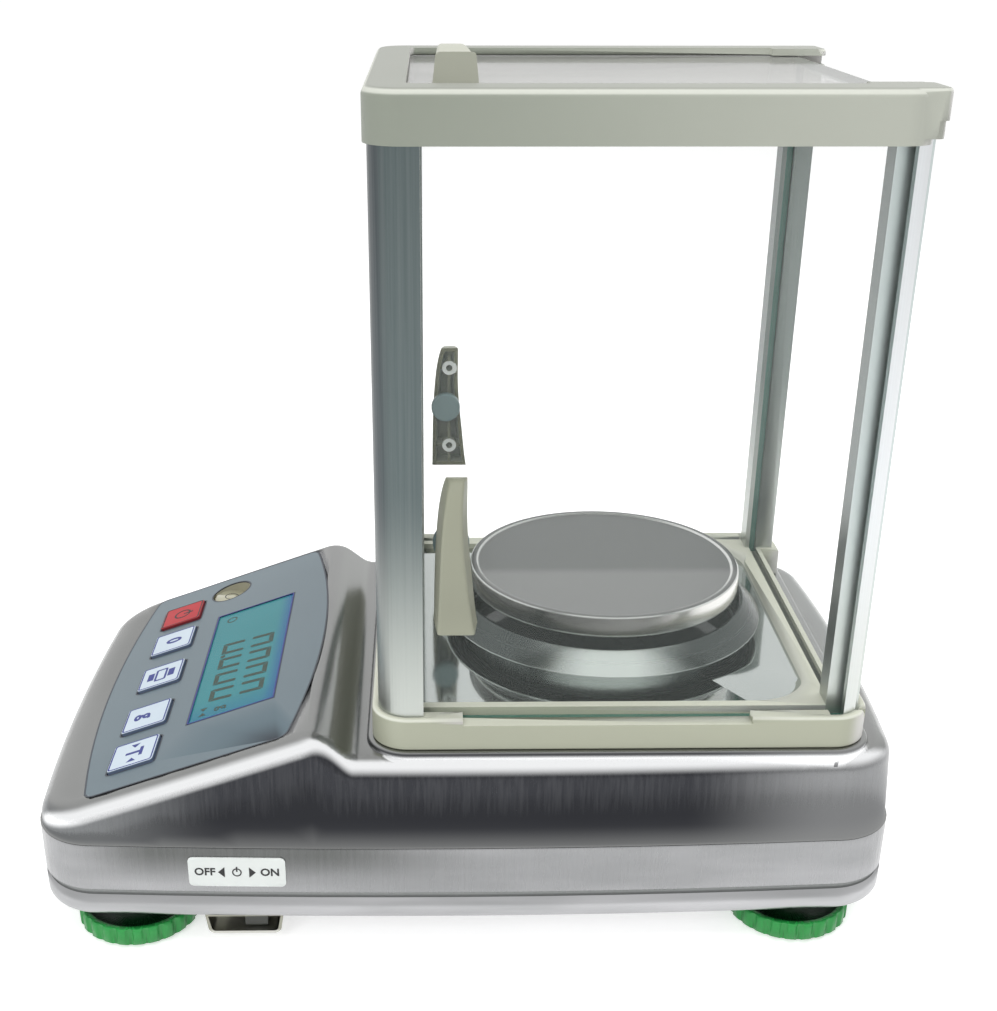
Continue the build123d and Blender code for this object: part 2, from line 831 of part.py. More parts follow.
def place_lid_handle(handle):
    """Lays a handle on the lid's top, its wide end to the right."""
    lid_top = top_frame_top_z - lid_drop
    place = Plane(origin=(lid_handle_x, handle_y, lid_top), x_dir=(0, -1, 0), z_dir=(-1, 0, 0))
    return place.location * handle


def make_disc(sx):
    """The disc inside a door, with the stem that goes through the glass."""
    inner = door_plane_x - glass_thickness / 2
    z = handle_low_z + disc_place
    disc = Pos(inner - disc_thickness / 2, disc_y, z) * Rot(0, 90, 0) * Cylinder(disc_radius, disc_thickness)
    disc = fillet(disc.faces().sort_by(Axis.X)[0].edges(), 0.8)
    stem_length = glass_thickness + disc_stem_reach
    stem = Pos(inner + stem_length / 2, disc_y, z) * Rot(0, 90, 0) * Cylinder(disc_stem_radius, stem_length)
    piece = disc + stem
    return piece if sx > 0 else mirror(piece, about=Plane.YZ)


def make_lid_glass():
    """The sliding lid."""
    top = top_frame_top_z - lid_drop
    return box(-lid_half_width, lid_half_width, lid_front_y(), lid_back_y, top - glass_thickness, top)


def revolve_about_pan(points):
    """Turns a closed outline of radius and height about the pan's axis."""
    face = make_face(Polyline([(r, 0, z) for r, z in points] + [(points[0][0], 0, points[0][1])]))
    return Pos(0, pan_y, 0) * revolve(face, Axis.Z)


def make_pan():
    """The stainless pan: flat top, raised rim, rolled skirt and a socket under it."""
    r = pan_radius
    z = pan_top_z
    low = z - pan_skirt_height
    outline = [
        (0, z - pan_rim_height),
        (r - pan_rim_width, z - pan_rim_height),
        (r - pan_rim_width + 0.8, z),
        (r - 1.2, z),
        (r, z - 1.2),
        (r, low + 1.0),
        (r - 1.0, low),
        (r - 1.0 - pan_sheet, low),
        (r - pan_sheet, low + 1.4),
        (r - pan_sheet, z - pan_rim_height - pan_sheet - 0.8),
        (r - pan_sheet - 0.8, z - pan_rim_height - pan_sheet),
        (0, z - pan_rim_height - pan_sheet),
    ]
    pan = revolve_about_pan(outline)
    under = z - pan_rim_height - pan_sheet
    boss = tube_between(0, pan_y, support_top_z(), under, pan_boss_radius)
    seat = support_top_z()
    bore = tube_between(0, pan_y, seat - 1, seat + pan_pin_length + 0.4, pan_pin_radius + pan_pin_clearance)
    return pan + (boss - bore) - bore


def support_top_z():
    """The height of the seat that the pan's socket stands on."""
    return pan_top_z - pan_rim_height - pan_sheet - pan_pin_length - 1.2


def make_pan_support():
    """The spider on the post: three arms with a rim, and the pin that centres the pan."""
    z = support_top_z()
    hub = tube_between(0, pan_y, z - 6, z, post_radius + 3)
    rim = tube_between(0, pan_y, z - 3, z, support_radius)
    rim = rim - tube_between(0, pan_y, z - 4, z + 1, support_radius - 4)
    spider = hub + rim
    for turn in range(3):
        arm = Pos(0, pan_y, z - 1.5) * Rot(0, 0, 120 * turn + 90) * Pos(support_radius / 2, 0, 0) * Box(
            support_radius - 2, support_arm_width, 3
        )
        spider = spider + arm
    pin = tube_between(0, pan_y, z, z + pan_pin_length, pan_pin_radius)
    pin = chamfer(pin.faces().sort_by(Axis.Z)[-1].edges(), 1.0)
    post = tube_between(0, pan_y, bracket_top_z(), z - 6, post_radius)
    return spider + pin + post


def beam_low_z():
    """The underside of the load cell."""
    return tray_bottom_z + tray_sheet + 16.0


def bracket_top_z():
    """The top of the bracket on the load cell's free end."""
    return beam_low_z() + beam_height + bracket_lift + bracket_thickness


def make_pan_bracket():
    """The bracket that carries the post from the load cell's free end."""
    z1 = bracket_top_z()
    z0 = z1 - bracket_thickness
    y_free = pan_y - beam_length / 2
    plate = box(-beam_width / 2 - 4, beam_width / 2 + 4, y_free, pan_y + 14, z0, z1)
    plate = fillet(plate.edges().filter_by(Axis.Z), 5)
    foot_low = z0 - bracket_lift + sink_travel + bracket_gap
    foot = box(-beam_width / 2, beam_width / 2, y_free, y_free + bracket_foot, foot_low, z0)
    return plate + foot


def make_load_cell():
    """The aluminium beam with its double-hole flexure."""
    z0 = beam_low_z()
    beam = Pos(0, pan_y, z0 + beam_height / 2) * Box(beam_width, beam_length, beam_height)
    for y in (-12, 12):
        hole = Pos(0, pan_y + y, z0 + beam_height / 2) * Rot(0, 90, 0) * Cylinder(8.0, beam_width + 2)
        beam = beam - hole
    middle = z0 + beam_height / 2
    beam = beam - box(-beam_width, beam_width, pan_y - 12, pan_y + 12, middle - 3.5, middle + 3.5)
    for y in (-beam_length / 2 + 10, beam_length / 2 - 10):
        for x in (-8, 8):
            beam = beam - tube_between(x, pan_y + y, z0 - 1, z0 + beam_height + 1, 2.6)
    return beam


def make_cell_base():
    """The block between the tray and the load cell's fixed end."""
    y1 = pan_y + beam_length / 2
    y0 = y1 - base_block_length
    step_z = beam_low_z() - beam_gap_below
    foot = box(-beam_width / 2 - 6, beam_width / 2 + 6, y0, y1 + 6, tray_bottom_z + tray_sheet, step_z)
    return foot + box(-beam_width / 2, beam_width / 2, y0 + 4, y1, step_z, beam_low_z())


def make_overload_stop():
    """The stop screw under the beam's free end, in its own pillar."""
    y = pan_y - beam_length / 2 + 8
    z0 = tray_bottom_z + tray_sheet
    pillar = tube_between(0, y, z0, beam_low_z() - 5, 6)
    screw = tube_between(0, y, beam_low_z() - 5, beam_low_z() - 0.6, 2.5)
    return pillar + screw


def make_main_board():
    """The main circuit board with its chips, transformer can and connectors."""
    z0 = tray_bottom_z + tray_sheet + standoff_height
    x = main_board_x
    y = main_board_y
    w, d = main_board_size
    board = box(x - w / 2, x + w / 2, y - d / 2, y + d / 2, z0, z0 + board_thickness)
    top = z0 + board_thickness
    board = board + box(x - 12, x + 12, y - 10, y + 10, top, top + 2.2)
    board = board + box(x + 24, x + 38, y - 24, y - 14, top, top + 1.6)
    board = board + box(x - 52, x - 30, y + 6, y + 26, top, top + 9)
    for k in range(4):
        board = board + tube_between(x + 30 + 8 * k, y + 22, top, top + 7, 2.8)
    for k in range(6):
        board = board + box(x - 55 + 12 * k, x - 49 + 12 * k, y - 31, y - 27, top, top + 5)
    return board


def make_standoffs():
    """The four pillars of the main board."""
    w, d = main_board_size
    z0 = tray_bottom_z + tray_sheet
    pieces = []
    for sx in (-1, 1):
        for sy in (-1, 1):
            x = main_board_x + sx * (w / 2 - 6)
            y = main_board_y + sy * (d / 2 - 6)
            pieces.append(tube_between(x, y, z0, z0 + standoff_height, standoff_radius))
    return pieces


def make_wheel(x, y):
    """A scalloped wheel, hollow above, with its hub."""
    wheel = tube_between(x, y, pad_height, wheel_height, wheel_radius)
    bite = 2 * pi * wheel_radius / wheel_lobes / 3.2
    wheel = chamfer(wheel.edges().filter_by(GeomType.CIRCLE), 0.8)
    for k in range(wheel_lobes):
        turn = 2 * pi * k / wheel_lobes
        reach = wheel_radius + bite - wheel_lobe_depth
        place = (x + reach * cos(turn), y + reach * sin(turn))
        wheel = wheel - tube_between(*place, pad_height - 1, wheel_height + 1, bite)
    cup = tube_between(x, y, pad_height + wheel_floor, wheel_height + 1, wheel_radius - wheel_wall)
    hub = tube_between(x, y, pad_height, tray_bottom_z - foot_travel - hub_gap, hub_radius)
    wheel = wheel - cup + hub
    return wheel - tube_between(x, y, pad_height + stud_seat_depth, tray_bottom_z, stud_radius + stud_clearance)


def make_foot_stud(x, y):
    """The steel stud from the wheel's hub up through the tray's plate."""
    stud = tube_between(x, y, pad_height + stud_seat_depth + stud_seat_gap, stud_top_z, stud_radius)
    return chamfer(stud.faces().sort_by(Axis.Z)[-1].edges(), 0.8)


def make_foot_pad(x, y):
    """The soft pad under a wheel."""
    return tube_between(x, y, 0, pad_height, pad_radius)


def make_wind_ring():
    """The ring round the pan: a collar that stands on the floor plate and a skirt folded out from its top."""
    floor = base_top_z - mirror_drop
    t = ring_sheet
    bore = pan_radius + ring_gap
    outline = [
        (bore, floor),
        (bore + t, floor),
        (bore + t, ring_top_z - 2.4),
        (ring_low_radius - t, ring_low_z),
        (ring_low_radius, ring_low_z),
        (ring_low_radius, ring_low_z + 0.6),
        (bore + t + 0.4, ring_top_z),
        (bore, ring_top_z),
    ]
    return revolve_about_pan(outline)


def guard_block(inset):
    """The guard's tapered form, drawn in by an inset on every side but the outer one."""
    top = tray_bottom_z - inset
    low = tray_bottom_z - guard_drop + inset
    wide = guard_length / 2 - inset
    narrow = wide - guard_taper
    corners = [(-wide, top), (wide, top), (narrow, low), (-narrow, low)]
    side = make_face(Polyline(corners + [corners[0]]))
    side = fillet(side.vertices().group_by(Axis.Y)[0], guard_corner_radius - inset)
    start = guard_outer_x - guard_depth + inset
    inner_face = Plane(origin=(start, switch_y, 0), x_dir=(0, 1, 0), z_dir=(1, 0, 0))
    return extrude(inner_face * side, guard_depth + inset)


def lever_slot(low_z, high_z):
    """The lever's slot through the guard and the tray."""
    half_width_of_slot = lever_neck_width / 2 + lever_gap
    reach = (lever_travel + lever_neck_length) / 2 + lever_gap
    return box(
        lever_x - half_width_of_slot,
        lever_x + half_width_of_slot,
        switch_y - reach,
        switch_y + reach,
        low_z,
        high_z,
    )


def make_switch_guard():
    """The bent steel guard that hangs under the tray round the switch lever, open to the outside."""
    block = guard_block(0) & box(0, guard_outer_x, -half_length, half_length, 0, tray_bottom_z)
    guard = block - guard_block(guard_sheet)
    return guard - lever_slot(tray_bottom_z - guard_sheet - 1, tray_bottom_z + 1)


def make_switch_lever():
    """The switch's slide: a grip in the guard, on a neck through the tray to a head inside."""
    y = switch_y + lever_travel / 2
    floor = tray_bottom_z + tray_sheet
    grip_top = tray_bottom_z - guard_sheet - lever_gap
    head_low = floor + lever_gap
    neck_half = lever_neck_width / 2
    neck = box(
        lever_x - neck_half,
        lever_x + neck_half,
        y - lever_neck_length / 2,
        y + lever_neck_length / 2,
        grip_top - 1,
        head_low + 1,
    )
    half = lever_width / 2
    grip = box(lever_x - 3.5, lever_x + 5, y - half, y + half, grip_top - lever_height, grip_top)
    grip = fillet(grip.edges().filter_by(Axis.Y), 1.2)
    head = box(lever_x - 4, lever_x + 4, y - 5, y + 5, head_low, head_low + lever_head_height)
    return grip + neck + head


def make_power_switch():
    """The slide switch's body on the tray, beside the lever's head."""
    floor = tray_bottom_z + tray_sheet
    x1 = lever_x - 4 - lever_gap
    y0 = switch_y - switch_body_length / 2
    body = box(x1 - switch_body_width, x1, y0, y0 + switch_body_length, floor, floor + switch_body_height)
    ear_z = floor + 1.0
    ears = box(x1 - switch_body_width, x1, y0 - 5, y0 + switch_body_length + 5, floor, ear_z)
    body = chamfer(body.edges().filter_by(Axis.Z), 0.6) + ears
    for k in range(3):
        y = switch_y + (k - 1) * 8
        tag = box(x1 - switch_body_width - 4, x1 - switch_body_width, y - 1.2, y + 1.2, floor + 3, floor + 3.6)
        body = body + tag
    return body


def make_switch_plate():
    """The plate on the right side above the switch, bent to the band's curve."""
    z = (shell_bottom_z + band_top_z) / 2 - 0.6
    outer = extrude(housing_plan(-plate_thickness, z - plate_height / 2), plate_height)
    inner = extrude(housing_plan(0, z - plate_height / 2 - 1), plate_height + 2)
    skin = outer - inner
    side = Plane(origin=(half_width - 12, plate_y, z), x_dir=(0, 1, 0), z_dir=(1, 0, 0))
    outline = side * RectangleRounded(plate_width, plate_height, 2)
    return skin & extrude(outline, 24)


def back_wall_y(x, width):
    """The bulged back wall's furthest point behind a piece of a given width."""
    near = max(abs(x) - width / 2, 0)
    reach = half_width - side_bulge
    return half_length - end_bulge * (near / reach) ** 2


def make_supply_inlet():
    """The round supply socket in the back wall."""
    y = back_wall_y(inlet_x, 2 * inlet_radius + 4)
    body = Pos(inlet_x, y - 5, back_piece_z) * Rot(90, 0, 0) * Cylinder(inlet_radius - 0.1, 14)
    flange = Pos(inlet_x, y + back_piece_proud / 2 + 0.05, back_piece_z) * Rot(90, 0, 0) * Cylinder(
        inlet_radius + 2, back_piece_proud
    )
    bore = Pos(inlet_x, y - 2, back_piece_z) * Rot(90, 0, 0) * Cylinder(inlet_bore, 12)
    pin = Pos(inlet_x, y - 4, back_piece_z) * Rot(90, 0, 0) * Cylinder(inlet_pin_radius, 10)
    return body + flange - bore + pin


def make_data_socket():
    """The nine-pin data socket in the back wall."""
    y = back_wall_y(socket_x, socket_width)
    flange = box(
        socket_x - socket_width / 2,
        socket_x + socket_width / 2,
        y + 0.05,
        y + 0.05 + back_piece_proud,
        back_piece_z - socket_height / 2,
        back_piece_z + socket_height / 2,
    )
    shell = Plane(origin=(socket_x, y - 8, back_piece_z), x_dir=(-1, 0, 0), z_dir=(0, 1, 0)) * (
        RectangleRounded(socket_shell_width, socket_shell_height, 2)
    )
    body = extrude(shell, 8 + back_piece_proud + socket_shell_reach)
    hollow = Plane(origin=(socket_x, y + back_piece_proud, back_piece_z), x_dir=(-1, 0, 0), z_dir=(0, 1, 0)) * (
        RectangleRounded(socket_shell_width - 1, socket_shell_height - 1, 1.5)
    )
    socket = flange + body - extrude(hollow, 8)
    for k in range(socket_pins):
        row = 0 if k < 5 else 1
        x = socket_x + ((k if row == 0 else k - 5) - (2 if row == 0 else 1.5)) * socket_pin_pitch
        z = back_piece_z + (socket_row_offset if row == 0 else -socket_row_offset)
        pin = Pos(x, y + back_piece_proud + 0.4, z) * Rot(90, 0, 0) * Cylinder(0.5, 5)
        socket = socket + pin
    for sx in (-1, 1):
        nut_y = y + back_piece_proud + socket_nut_height / 2
        nut = Cylinder(socket_nut_radius, socket_nut_height)
        socket = socket + Pos(socket_x + sx * socket_nut_x, nut_y, back_piece_z) * Rot(90, 0, 0) * nut
    return socket


def export_set(pieces, name):
    """Writes a set of equal pieces as one sub-part."""
    export(Compound(children=pieces), name)


def main():
    """Makes and writes every sub-part."""
    export(make_upper_housing(), "upper_housing")
    export(make_bottom_tray(), "bottom_tray")
    export(make_gasket(), "seam_gasket")
    export(make_keypad_overlay(), "keypad_overlay")
    export(make_display_window(), "display_window")
    export(make_display_module(), "display_module")
    export(make_keypad_board(), "keypad_board")
    export(make_level_cup(), "level_cup")
    export(make_level_vial(), "level_vial")
    for name, x in zip(key_names, key_x):
        export(make_key(x), name)
    export(make_main_board(), "main_board")
    export_set(make_standoffs(), "board_standoffs")
    export(make_load_cell(), "load_cell")
    export(make_cell_base(), "cell_base")
    export(make_overload_stop(), "overload_stop")
    export(make_pan_bracket(), "pan_bracket")
    export(make_pan_support(), "pan_support")
    export(make_pan(), "pan")
    export(make_wind_ring(), "wind_ring")
    export(make_base_frame(), "base_frame")
    export(make_mirror_plate(), "mirror_plate")
    export(make_top_frame(), "top_frame")
    export(make_pane("front"), "front_glass")
    export(make_pane("back"), "rear_glass")
    export(make_lid_glass(), "lid_glass")
    handle = make_handle()
    export(place_lid_handle(handle), "lid_handle")
    for side, sx in (("right", 1), ("left", -1)):
        for end in ("front", "back"):
            export(make_column(sx, end), f"column_{end}_{side}")
        export(make_column_cover(sx), f"column_cover_{side}")
        export(make_door_glass(sx), f"door_glass_{side}")
        export(place_side_handle(handle, sx), f"door_handle_{side}")
        export(make_disc(sx), f"door_disc_{side}")
    for name, (x, y) in foot_places().items():
        export(make_wheel(x, y), f"foot_wheel_{name}")
        export(make_foot_stud(x, y), f"foot_stud_{name}")
        export(make_foot_pad(x, y), f"foot_pad_{name}")
    export(make_switch_guard(), "switch_guard")
    export(make_switch_lever(), "switch_lever")
    export(make_switch_plate(), "switch_plate")
    export(make_supply_inlet(), "supply_inlet")
    export(make_data_socket(), "data_socket")
    export(make_power_switch(), "power_switch")


main()
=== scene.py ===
"""Looks for the laboratory balance: finishes, printing, fasteners, pan, light and camera.

Metres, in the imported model's frame: +X is the user's right, +Y the back, +Z up.
"""

import json
from math import cos, pi, radians, sin, tan

import bmesh
import bpy
from mathutils import Matrix, Vector

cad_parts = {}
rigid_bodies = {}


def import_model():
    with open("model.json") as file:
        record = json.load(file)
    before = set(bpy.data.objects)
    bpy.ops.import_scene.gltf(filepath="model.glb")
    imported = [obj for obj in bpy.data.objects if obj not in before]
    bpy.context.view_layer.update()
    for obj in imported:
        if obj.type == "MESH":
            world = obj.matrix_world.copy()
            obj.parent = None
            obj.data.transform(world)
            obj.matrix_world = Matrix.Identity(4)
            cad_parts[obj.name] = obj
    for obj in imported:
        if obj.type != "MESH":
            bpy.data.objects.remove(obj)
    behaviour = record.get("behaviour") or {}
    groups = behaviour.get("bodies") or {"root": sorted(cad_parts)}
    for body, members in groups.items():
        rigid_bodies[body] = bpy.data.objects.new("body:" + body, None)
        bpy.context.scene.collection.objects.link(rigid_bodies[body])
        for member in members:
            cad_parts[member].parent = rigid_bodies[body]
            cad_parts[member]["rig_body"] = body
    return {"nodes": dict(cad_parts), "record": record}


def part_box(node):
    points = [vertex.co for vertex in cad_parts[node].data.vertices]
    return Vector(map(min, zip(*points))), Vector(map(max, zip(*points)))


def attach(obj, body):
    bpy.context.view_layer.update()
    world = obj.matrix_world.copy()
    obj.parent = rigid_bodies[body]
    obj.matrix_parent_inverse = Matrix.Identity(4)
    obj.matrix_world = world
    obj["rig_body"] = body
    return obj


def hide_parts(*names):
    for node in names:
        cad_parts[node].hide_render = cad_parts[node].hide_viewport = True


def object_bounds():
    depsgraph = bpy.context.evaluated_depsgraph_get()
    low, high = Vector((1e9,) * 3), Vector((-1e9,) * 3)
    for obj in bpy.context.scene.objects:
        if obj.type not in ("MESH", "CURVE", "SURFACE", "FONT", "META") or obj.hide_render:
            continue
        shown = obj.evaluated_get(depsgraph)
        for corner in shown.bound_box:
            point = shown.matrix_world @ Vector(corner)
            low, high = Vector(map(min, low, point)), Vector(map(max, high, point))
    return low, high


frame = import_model()
cad_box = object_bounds()
mm = 0.001

# The console's own axes: x to the right, u up the slope, h off its surface
SLOPE = radians(19.3)
CONSOLE_POINT = Vector((0, -65 * mm, 94.3 * mm))
KEY_TOP = 1.2
KEY_U = -72.5
SCREEN_X, SCREEN_U = 4.0, -32.5
SCREEN_FACE = -0.45
DECK_Z = 87.5

# Places in millimetres
PAN_CENTRE = Vector((0, 61.2 * mm, 0))
COLLAR_RADIUS = 58.6
HANDLE_Y = -4.3
HANDLE_BOSSES, BOSS_RADIUS = (149.0, 187.0), 3.6
SEAM_Z = 28.2
FOOT_X, FOOT_Y = 75.5, 135.0
WHEEL_BORE = 21.6
PLATE_Y, PLATE_Z = -90.0, 37.65
TRAY_SCREWS = ((-84, -104), (-84, 0), (-84, 100), (84, -56), (84, 20), (84, 100))
PRINT = 0.05
HALF_WIDTH, SIDE_BULGE, SIDE_REACH = 102.0, 5.0, 169.5

KEYS = ("key_on_off", "key_zero", "key_print", "key_unit", "key_tare")
FEET = ("front_right", "front_left", "back_right", "back_left")


class Value:
    """A socket in a finish; arithmetic on it adds Math nodes."""

    def __init__(self, finish, socket):
        self.finish = finish
        self.socket = socket

    def math(self, operation, *others, swap=False):
        terms = [self, *others]
        if swap:
            terms.reverse()
        return self.finish.add("ShaderNodeMath", {"operation": operation}, *terms)

    def __add__(self, other):
        return self.math("ADD", other)

    __radd__ = __add__

    def __sub__(self, other):
        return self.math("SUBTRACT", other)

    def __rsub__(self, other):
        return self.math("SUBTRACT", other, swap=True)

    def __mul__(self, other):
        return self.math("MULTIPLY", other)

    __rmul__ = __mul__

    def __truediv__(self, other):
        return self.math("DIVIDE", other)

    def __pow__(self, other):
        return self.math("POWER", other)

    def __abs__(self):
        return self.math("ABSOLUTE")

    def above(self, other):
        return self.math("GREATER_THAN", other)

    def below(self, other):
        return self.math("LESS_THAN", other)

    def sign(self):
        return self.math("SIGN")

    def most(self, other):
        return self.math("MAXIMUM", other)

    def ramp(self, low, high):
        """Goes smoothly from 0 at low to 1 at high."""
        settings = {"interpolation_type": "SMOOTHSTEP"}
        return self.finish.add("ShaderNodeMapRange", settings, self, low, high, 0.0, 1.0)


class Finish:
    """A material under construction."""

    def __init__(self, name, **constants):
        self.material = bpy.data.materials.new(name)
        self.material.use_nodes = True
        self.tree = self.material.node_tree
        self.shader = self.tree.nodes["Principled BSDF"]
        for socket, value in constants.items():
            self.set(socket.replace("_", " ").title(), value)

    def add(self, kind, settings, *inputs, output=0):
        """Adds a node, sets its settings first and its sockets after."""
        node = self.tree.nodes.new(kind)
        for name, value in settings.items():
            setattr(node, name, value)
        sockets = [s for s in node.inputs if s.enabled]
        for socket, value in zip(sockets, inputs):
            self.join(value, socket)
        return Value(self, [s for s in node.outputs if s.enabled][output])

    def join(self, value, socket):
        if isinstance(value, Value):
            self.tree.links.new(value.socket, socket)
        elif value is not None:
            socket.default_value = value

    def set(self, name, value):
        names = {"Ior": "IOR", "Transmission": "Transmission Weight", "Coat": "Coat Weight"}
        if not isinstance(value, Value) and isinstance(value, tuple) and len(value) == 3:
            value = (*value, 1)
        self.join(value, self.shader.inputs[names.get(name, name)])
        return self

    def place(self):
        """The point on the object, in metres."""
        return self.add("ShaderNodeTexCoord", {}, output=3)

    def parts(self, vector):
        """A vector's three values."""
        split = self.add("ShaderNodeSeparateXYZ", {}, vector)
        outputs = split.socket.node.outputs
        return [Value(self, outputs[i]) for i in range(3)]

    def facing(self):
        """The surface's direction, as three values."""
        return self.parts(self.add("ShaderNodeNewGeometry", {}, output=1))

    def noise(self, scale, stretch=(1, 1, 1), detail=3.0, roughness=0.55):
        mapping = self.add("ShaderNodeMapping", {}, self.place(), (0, 0, 0), (0, 0, 0), stretch)
        return self.add("ShaderNodeTexNoise", {}, mapping, scale, detail, roughness)

    def blend(self, mask, low, high):
        """From the low colour to the high one by a mask."""
        node = self.tree.nodes.new("ShaderNodeMix")
        node.data_type = "RGBA"
        for index, value in ((0, mask), (6, low), (7, high)):
            if isinstance(value, tuple) and len(value) == 3:
                value = (*value, 1)
            self.join(value, node.inputs[index])
        return Value(self, node.outputs[2])

    def bump(self, height, strength, distance=0.0002):
        node = self.tree.nodes.new("ShaderNodeBump")
        node.inputs["Strength"].default_value = strength
        node.inputs["Distance"].default_value = distance
        self.join(height, node.inputs["Height"])
        return self.set("Normal", Value(self, node.outputs[0]))


def srgb(red, green, blue):
    """A screen colour, 0 to 255, as the light value that a shader takes."""
    return tuple(((c / 255 + 0.055) / 1.055) ** 2.4 if c > 10 else c / 3294.6 for c in (red, green, blue))


def housing_steel():
    """Drawn brushed stainless with painted reflections: dark flanks, paler tops, a painted highlight along
    the top roundings, and a paler band round the foot.
    """
    f = Finish("housing_steel", metallic=1.0)
    _, y, z = f.parts(f.place())
    across, along, up = f.facing()
    upright = 1 - up.ramp(0.3, 0.7)
    hairs = f.noise(700, (1, 1, 0.03), 3.0, 0.6) * upright
    patches = f.noise(26, (1, 0.25, 1.4), 3.0)
    clouds = f.noise(9, (1, 1, 0.5), 2.0)

    # Painted reflection: the flank dark in the middle, lighter at the front, at the back and low down.
    front = 1 - y.ramp(-152 * mm, -92 * mm)
    rear = y.ramp(84 * mm, 146 * mm)
    low = 1 - z.ramp(50 * mm, 62 * mm)
    flank = f.blend(low * 0.35 + clouds * 0.25, srgb(46, 47, 51), srgb(80, 81, 84))
    flank = f.blend(rear, flank, srgb(128, 129, 130))
    flank = f.blend(front * 0.75, flank, srgb(122, 124, 125))

    # Painted reflection: the band round the foot paler, with a darker painted reflection near its front.
    band = 1 - z.ramp(47.6 * mm, 49.4 * mm)
    dark_reflection = (1 - y.ramp(-60 * mm, 20 * mm)) * y.ramp(-160 * mm, -120 * mm) * z.ramp(30 * mm, 46 * mm)
    skirt = f.blend(patches.ramp(0.3, 0.7), srgb(142, 143, 144), srgb(168, 168, 170))
    skirt = f.blend(dark_reflection * 0.85, skirt, srgb(84, 86, 84))
    wall = f.blend(band, flank, skirt)

    # Painted highlight: a bright line along the side roundings, a few millimetres under the top's height.
    side = abs(across)
    incline = y * tan(SLOPE) + (CONSOLE_POINT.z - CONSOLE_POINT.y * tan(SLOPE))
    behind = y.ramp(-60 * mm, -43 * mm)
    under = incline * (1 - behind) + behind * DECK_Z * mm - z
    gleam = under.ramp(0.6 * mm, 3.2 * mm) * (1 - under.ramp(4.6 * mm, 8.4 * mm)) * side.ramp(0.35, 0.6)
    # Painted reflection: the nose's rounding a mid grey.
    nose = (0 - along).ramp(0.55, 0.85) * (1 - side.ramp(0.3, 0.5)) * (1 - band)
    # Painted reflection: upward faces paler than the walls, and the back slope behind the crest darker, paler
    # as it turns upward.
    top = f.blend(clouds, srgb(136, 137, 136), srgb(156, 157, 156))
    slope = along.ramp(0.18, 0.45) * (1 - side.ramp(0.4, 0.7)) * z.ramp(80 * mm, 86 * mm)
    colour = f.blend(up.ramp(0.55, 0.9), wall, top)
    colour = f.blend(nose * 0.7, colour, srgb(104, 106, 108))
    colour = f.blend(slope, colour, f.blend(up.ramp(0.3, 0.9), srgb(84, 86, 84), srgb(150, 152, 150)))
    colour = f.blend(gleam, colour, srgb(240, 241, 242))
    f.set("Base Color", f.blend(hairs.ramp(0.35, 0.75) * 0.028, colour, srgb(216, 217, 219)))
    f.set("Roughness", hairs * 0.12 + 0.22)
    return f.bump(hairs, 0.02).material


def tray_steel():
    """The tray: paler satin steel, streaked along its sides."""
    f = Finish("tray_steel", metallic=1.0)
    streaks = f.noise(30, (1, 0.2, 2.0), 3.0)
    hairs = f.noise(700, (1, 0.05, 1), 3.0, 0.6)
    f.set("Base Color", f.blend(streaks.ramp(0.3, 0.7), srgb(158, 159, 160), srgb(190, 190, 192)))
    f.set("Roughness", hairs * 0.14 + 0.26)
    return f.bump(hairs, 0.03).material


def guard_steel():
    """The switch's guard: olive-grey in its pocket, with a painted highlight along its bent edge and its up-
    and down-facing faces.
    """
    f = Finish("guard_steel", metallic=1.0)
    _, _, z = f.parts(f.place())
    _, _, up = f.facing()
    clouds = f.noise(60, (1, 1, 1), 2.0)
    # Painted highlight: bright low down along the bent edge and on faces that point up or down.
    edge = (1 - z.ramp(5.6 * mm, 7.2 * mm)).most(abs(up).ramp(0.6, 0.9))
    pocket = f.blend(clouds, srgb(138, 138, 126), srgb(160, 160, 148))
    f.set("Base Color", f.blend(edge * 0.85, pocket, srgb(206, 206, 200)))
    f.set("Roughness", clouds * 0.1 + 0.28)
    return f.bump(clouds, 0.03).material


def gasket_strip():
    """The strip in the seam: steel-grey, with painted shade along its edges."""
    f = Finish("gasket_strip")
    _, _, z = f.parts(f.place())
    streaks = f.noise(60, (1, 0.2, 1), 2.0)
    middle = abs(z - SEAM_Z * mm)
    grey = f.blend(streaks, srgb(134, 137, 136), srgb(154, 157, 156))
    # Painted shade: darker towards the strip's edges, in the seam's gaps.
    f.set("Base Color", f.blend(middle.ramp(1.6 * mm, 2.4 * mm) * 0.6, grey, srgb(64, 66, 66)))
    f.set("Roughness", streaks * 0.1 + 0.4)
    return f.bump(streaks, 0.02).material


def ring_steel():
    """The wind ring: spun steel, dark but for painted highlight streaks down its cone where it faces left and
    right, a painted highlight on its hem and painted shade on its inner faces.
    """
    f = Finish("ring_steel", metallic=1.0)
    x, y, z = f.parts(f.place())
    y = y - PAN_CENTRE.y
    radius = (x * x + y * y) ** 0.5
    across, along, up = f.facing()
    outward = (across * x + along * y) / radius
    turn = y / radius
    # Painted highlight: broad bright streaks down the cone where it faces left and right.
    highlight_streak = 1 - abs(turn + 0.05).ramp(0.1, 0.56)
    rings = f.add("ShaderNodeCombineXYZ", {}, radius * 300, z * 300, 0.0)
    grain = f.add("ShaderNodeTexNoise", {}, rings, 1.0, 2.0, 0.5)
    cone = f.blend(highlight_streak, srgb(58, 64, 63), srgb(206, 214, 209))
    # Painted highlight along the skirt's hem.
    hem = (radius.ramp(66.9 * mm, 67.3 * mm)) * (1 - z.ramp(105.2 * mm, 105.8 * mm))
    colour = f.blend(hem * 0.8, cone, srgb(232, 236, 233))
    # Painted shade on the collar's inner faces.
    inside_shade = 1 - outward.ramp(-0.2, 0.3)
    colour = f.blend(inside_shade * (1 - up.ramp(0.5, 0.9)), colour, srgb(34, 36, 36))
    f.set("Base Color", f.blend(grain * 0.12, colour, srgb(190, 194, 191)))
    f.set("Roughness", grain * 0.06 + 0.24)
    return f.material


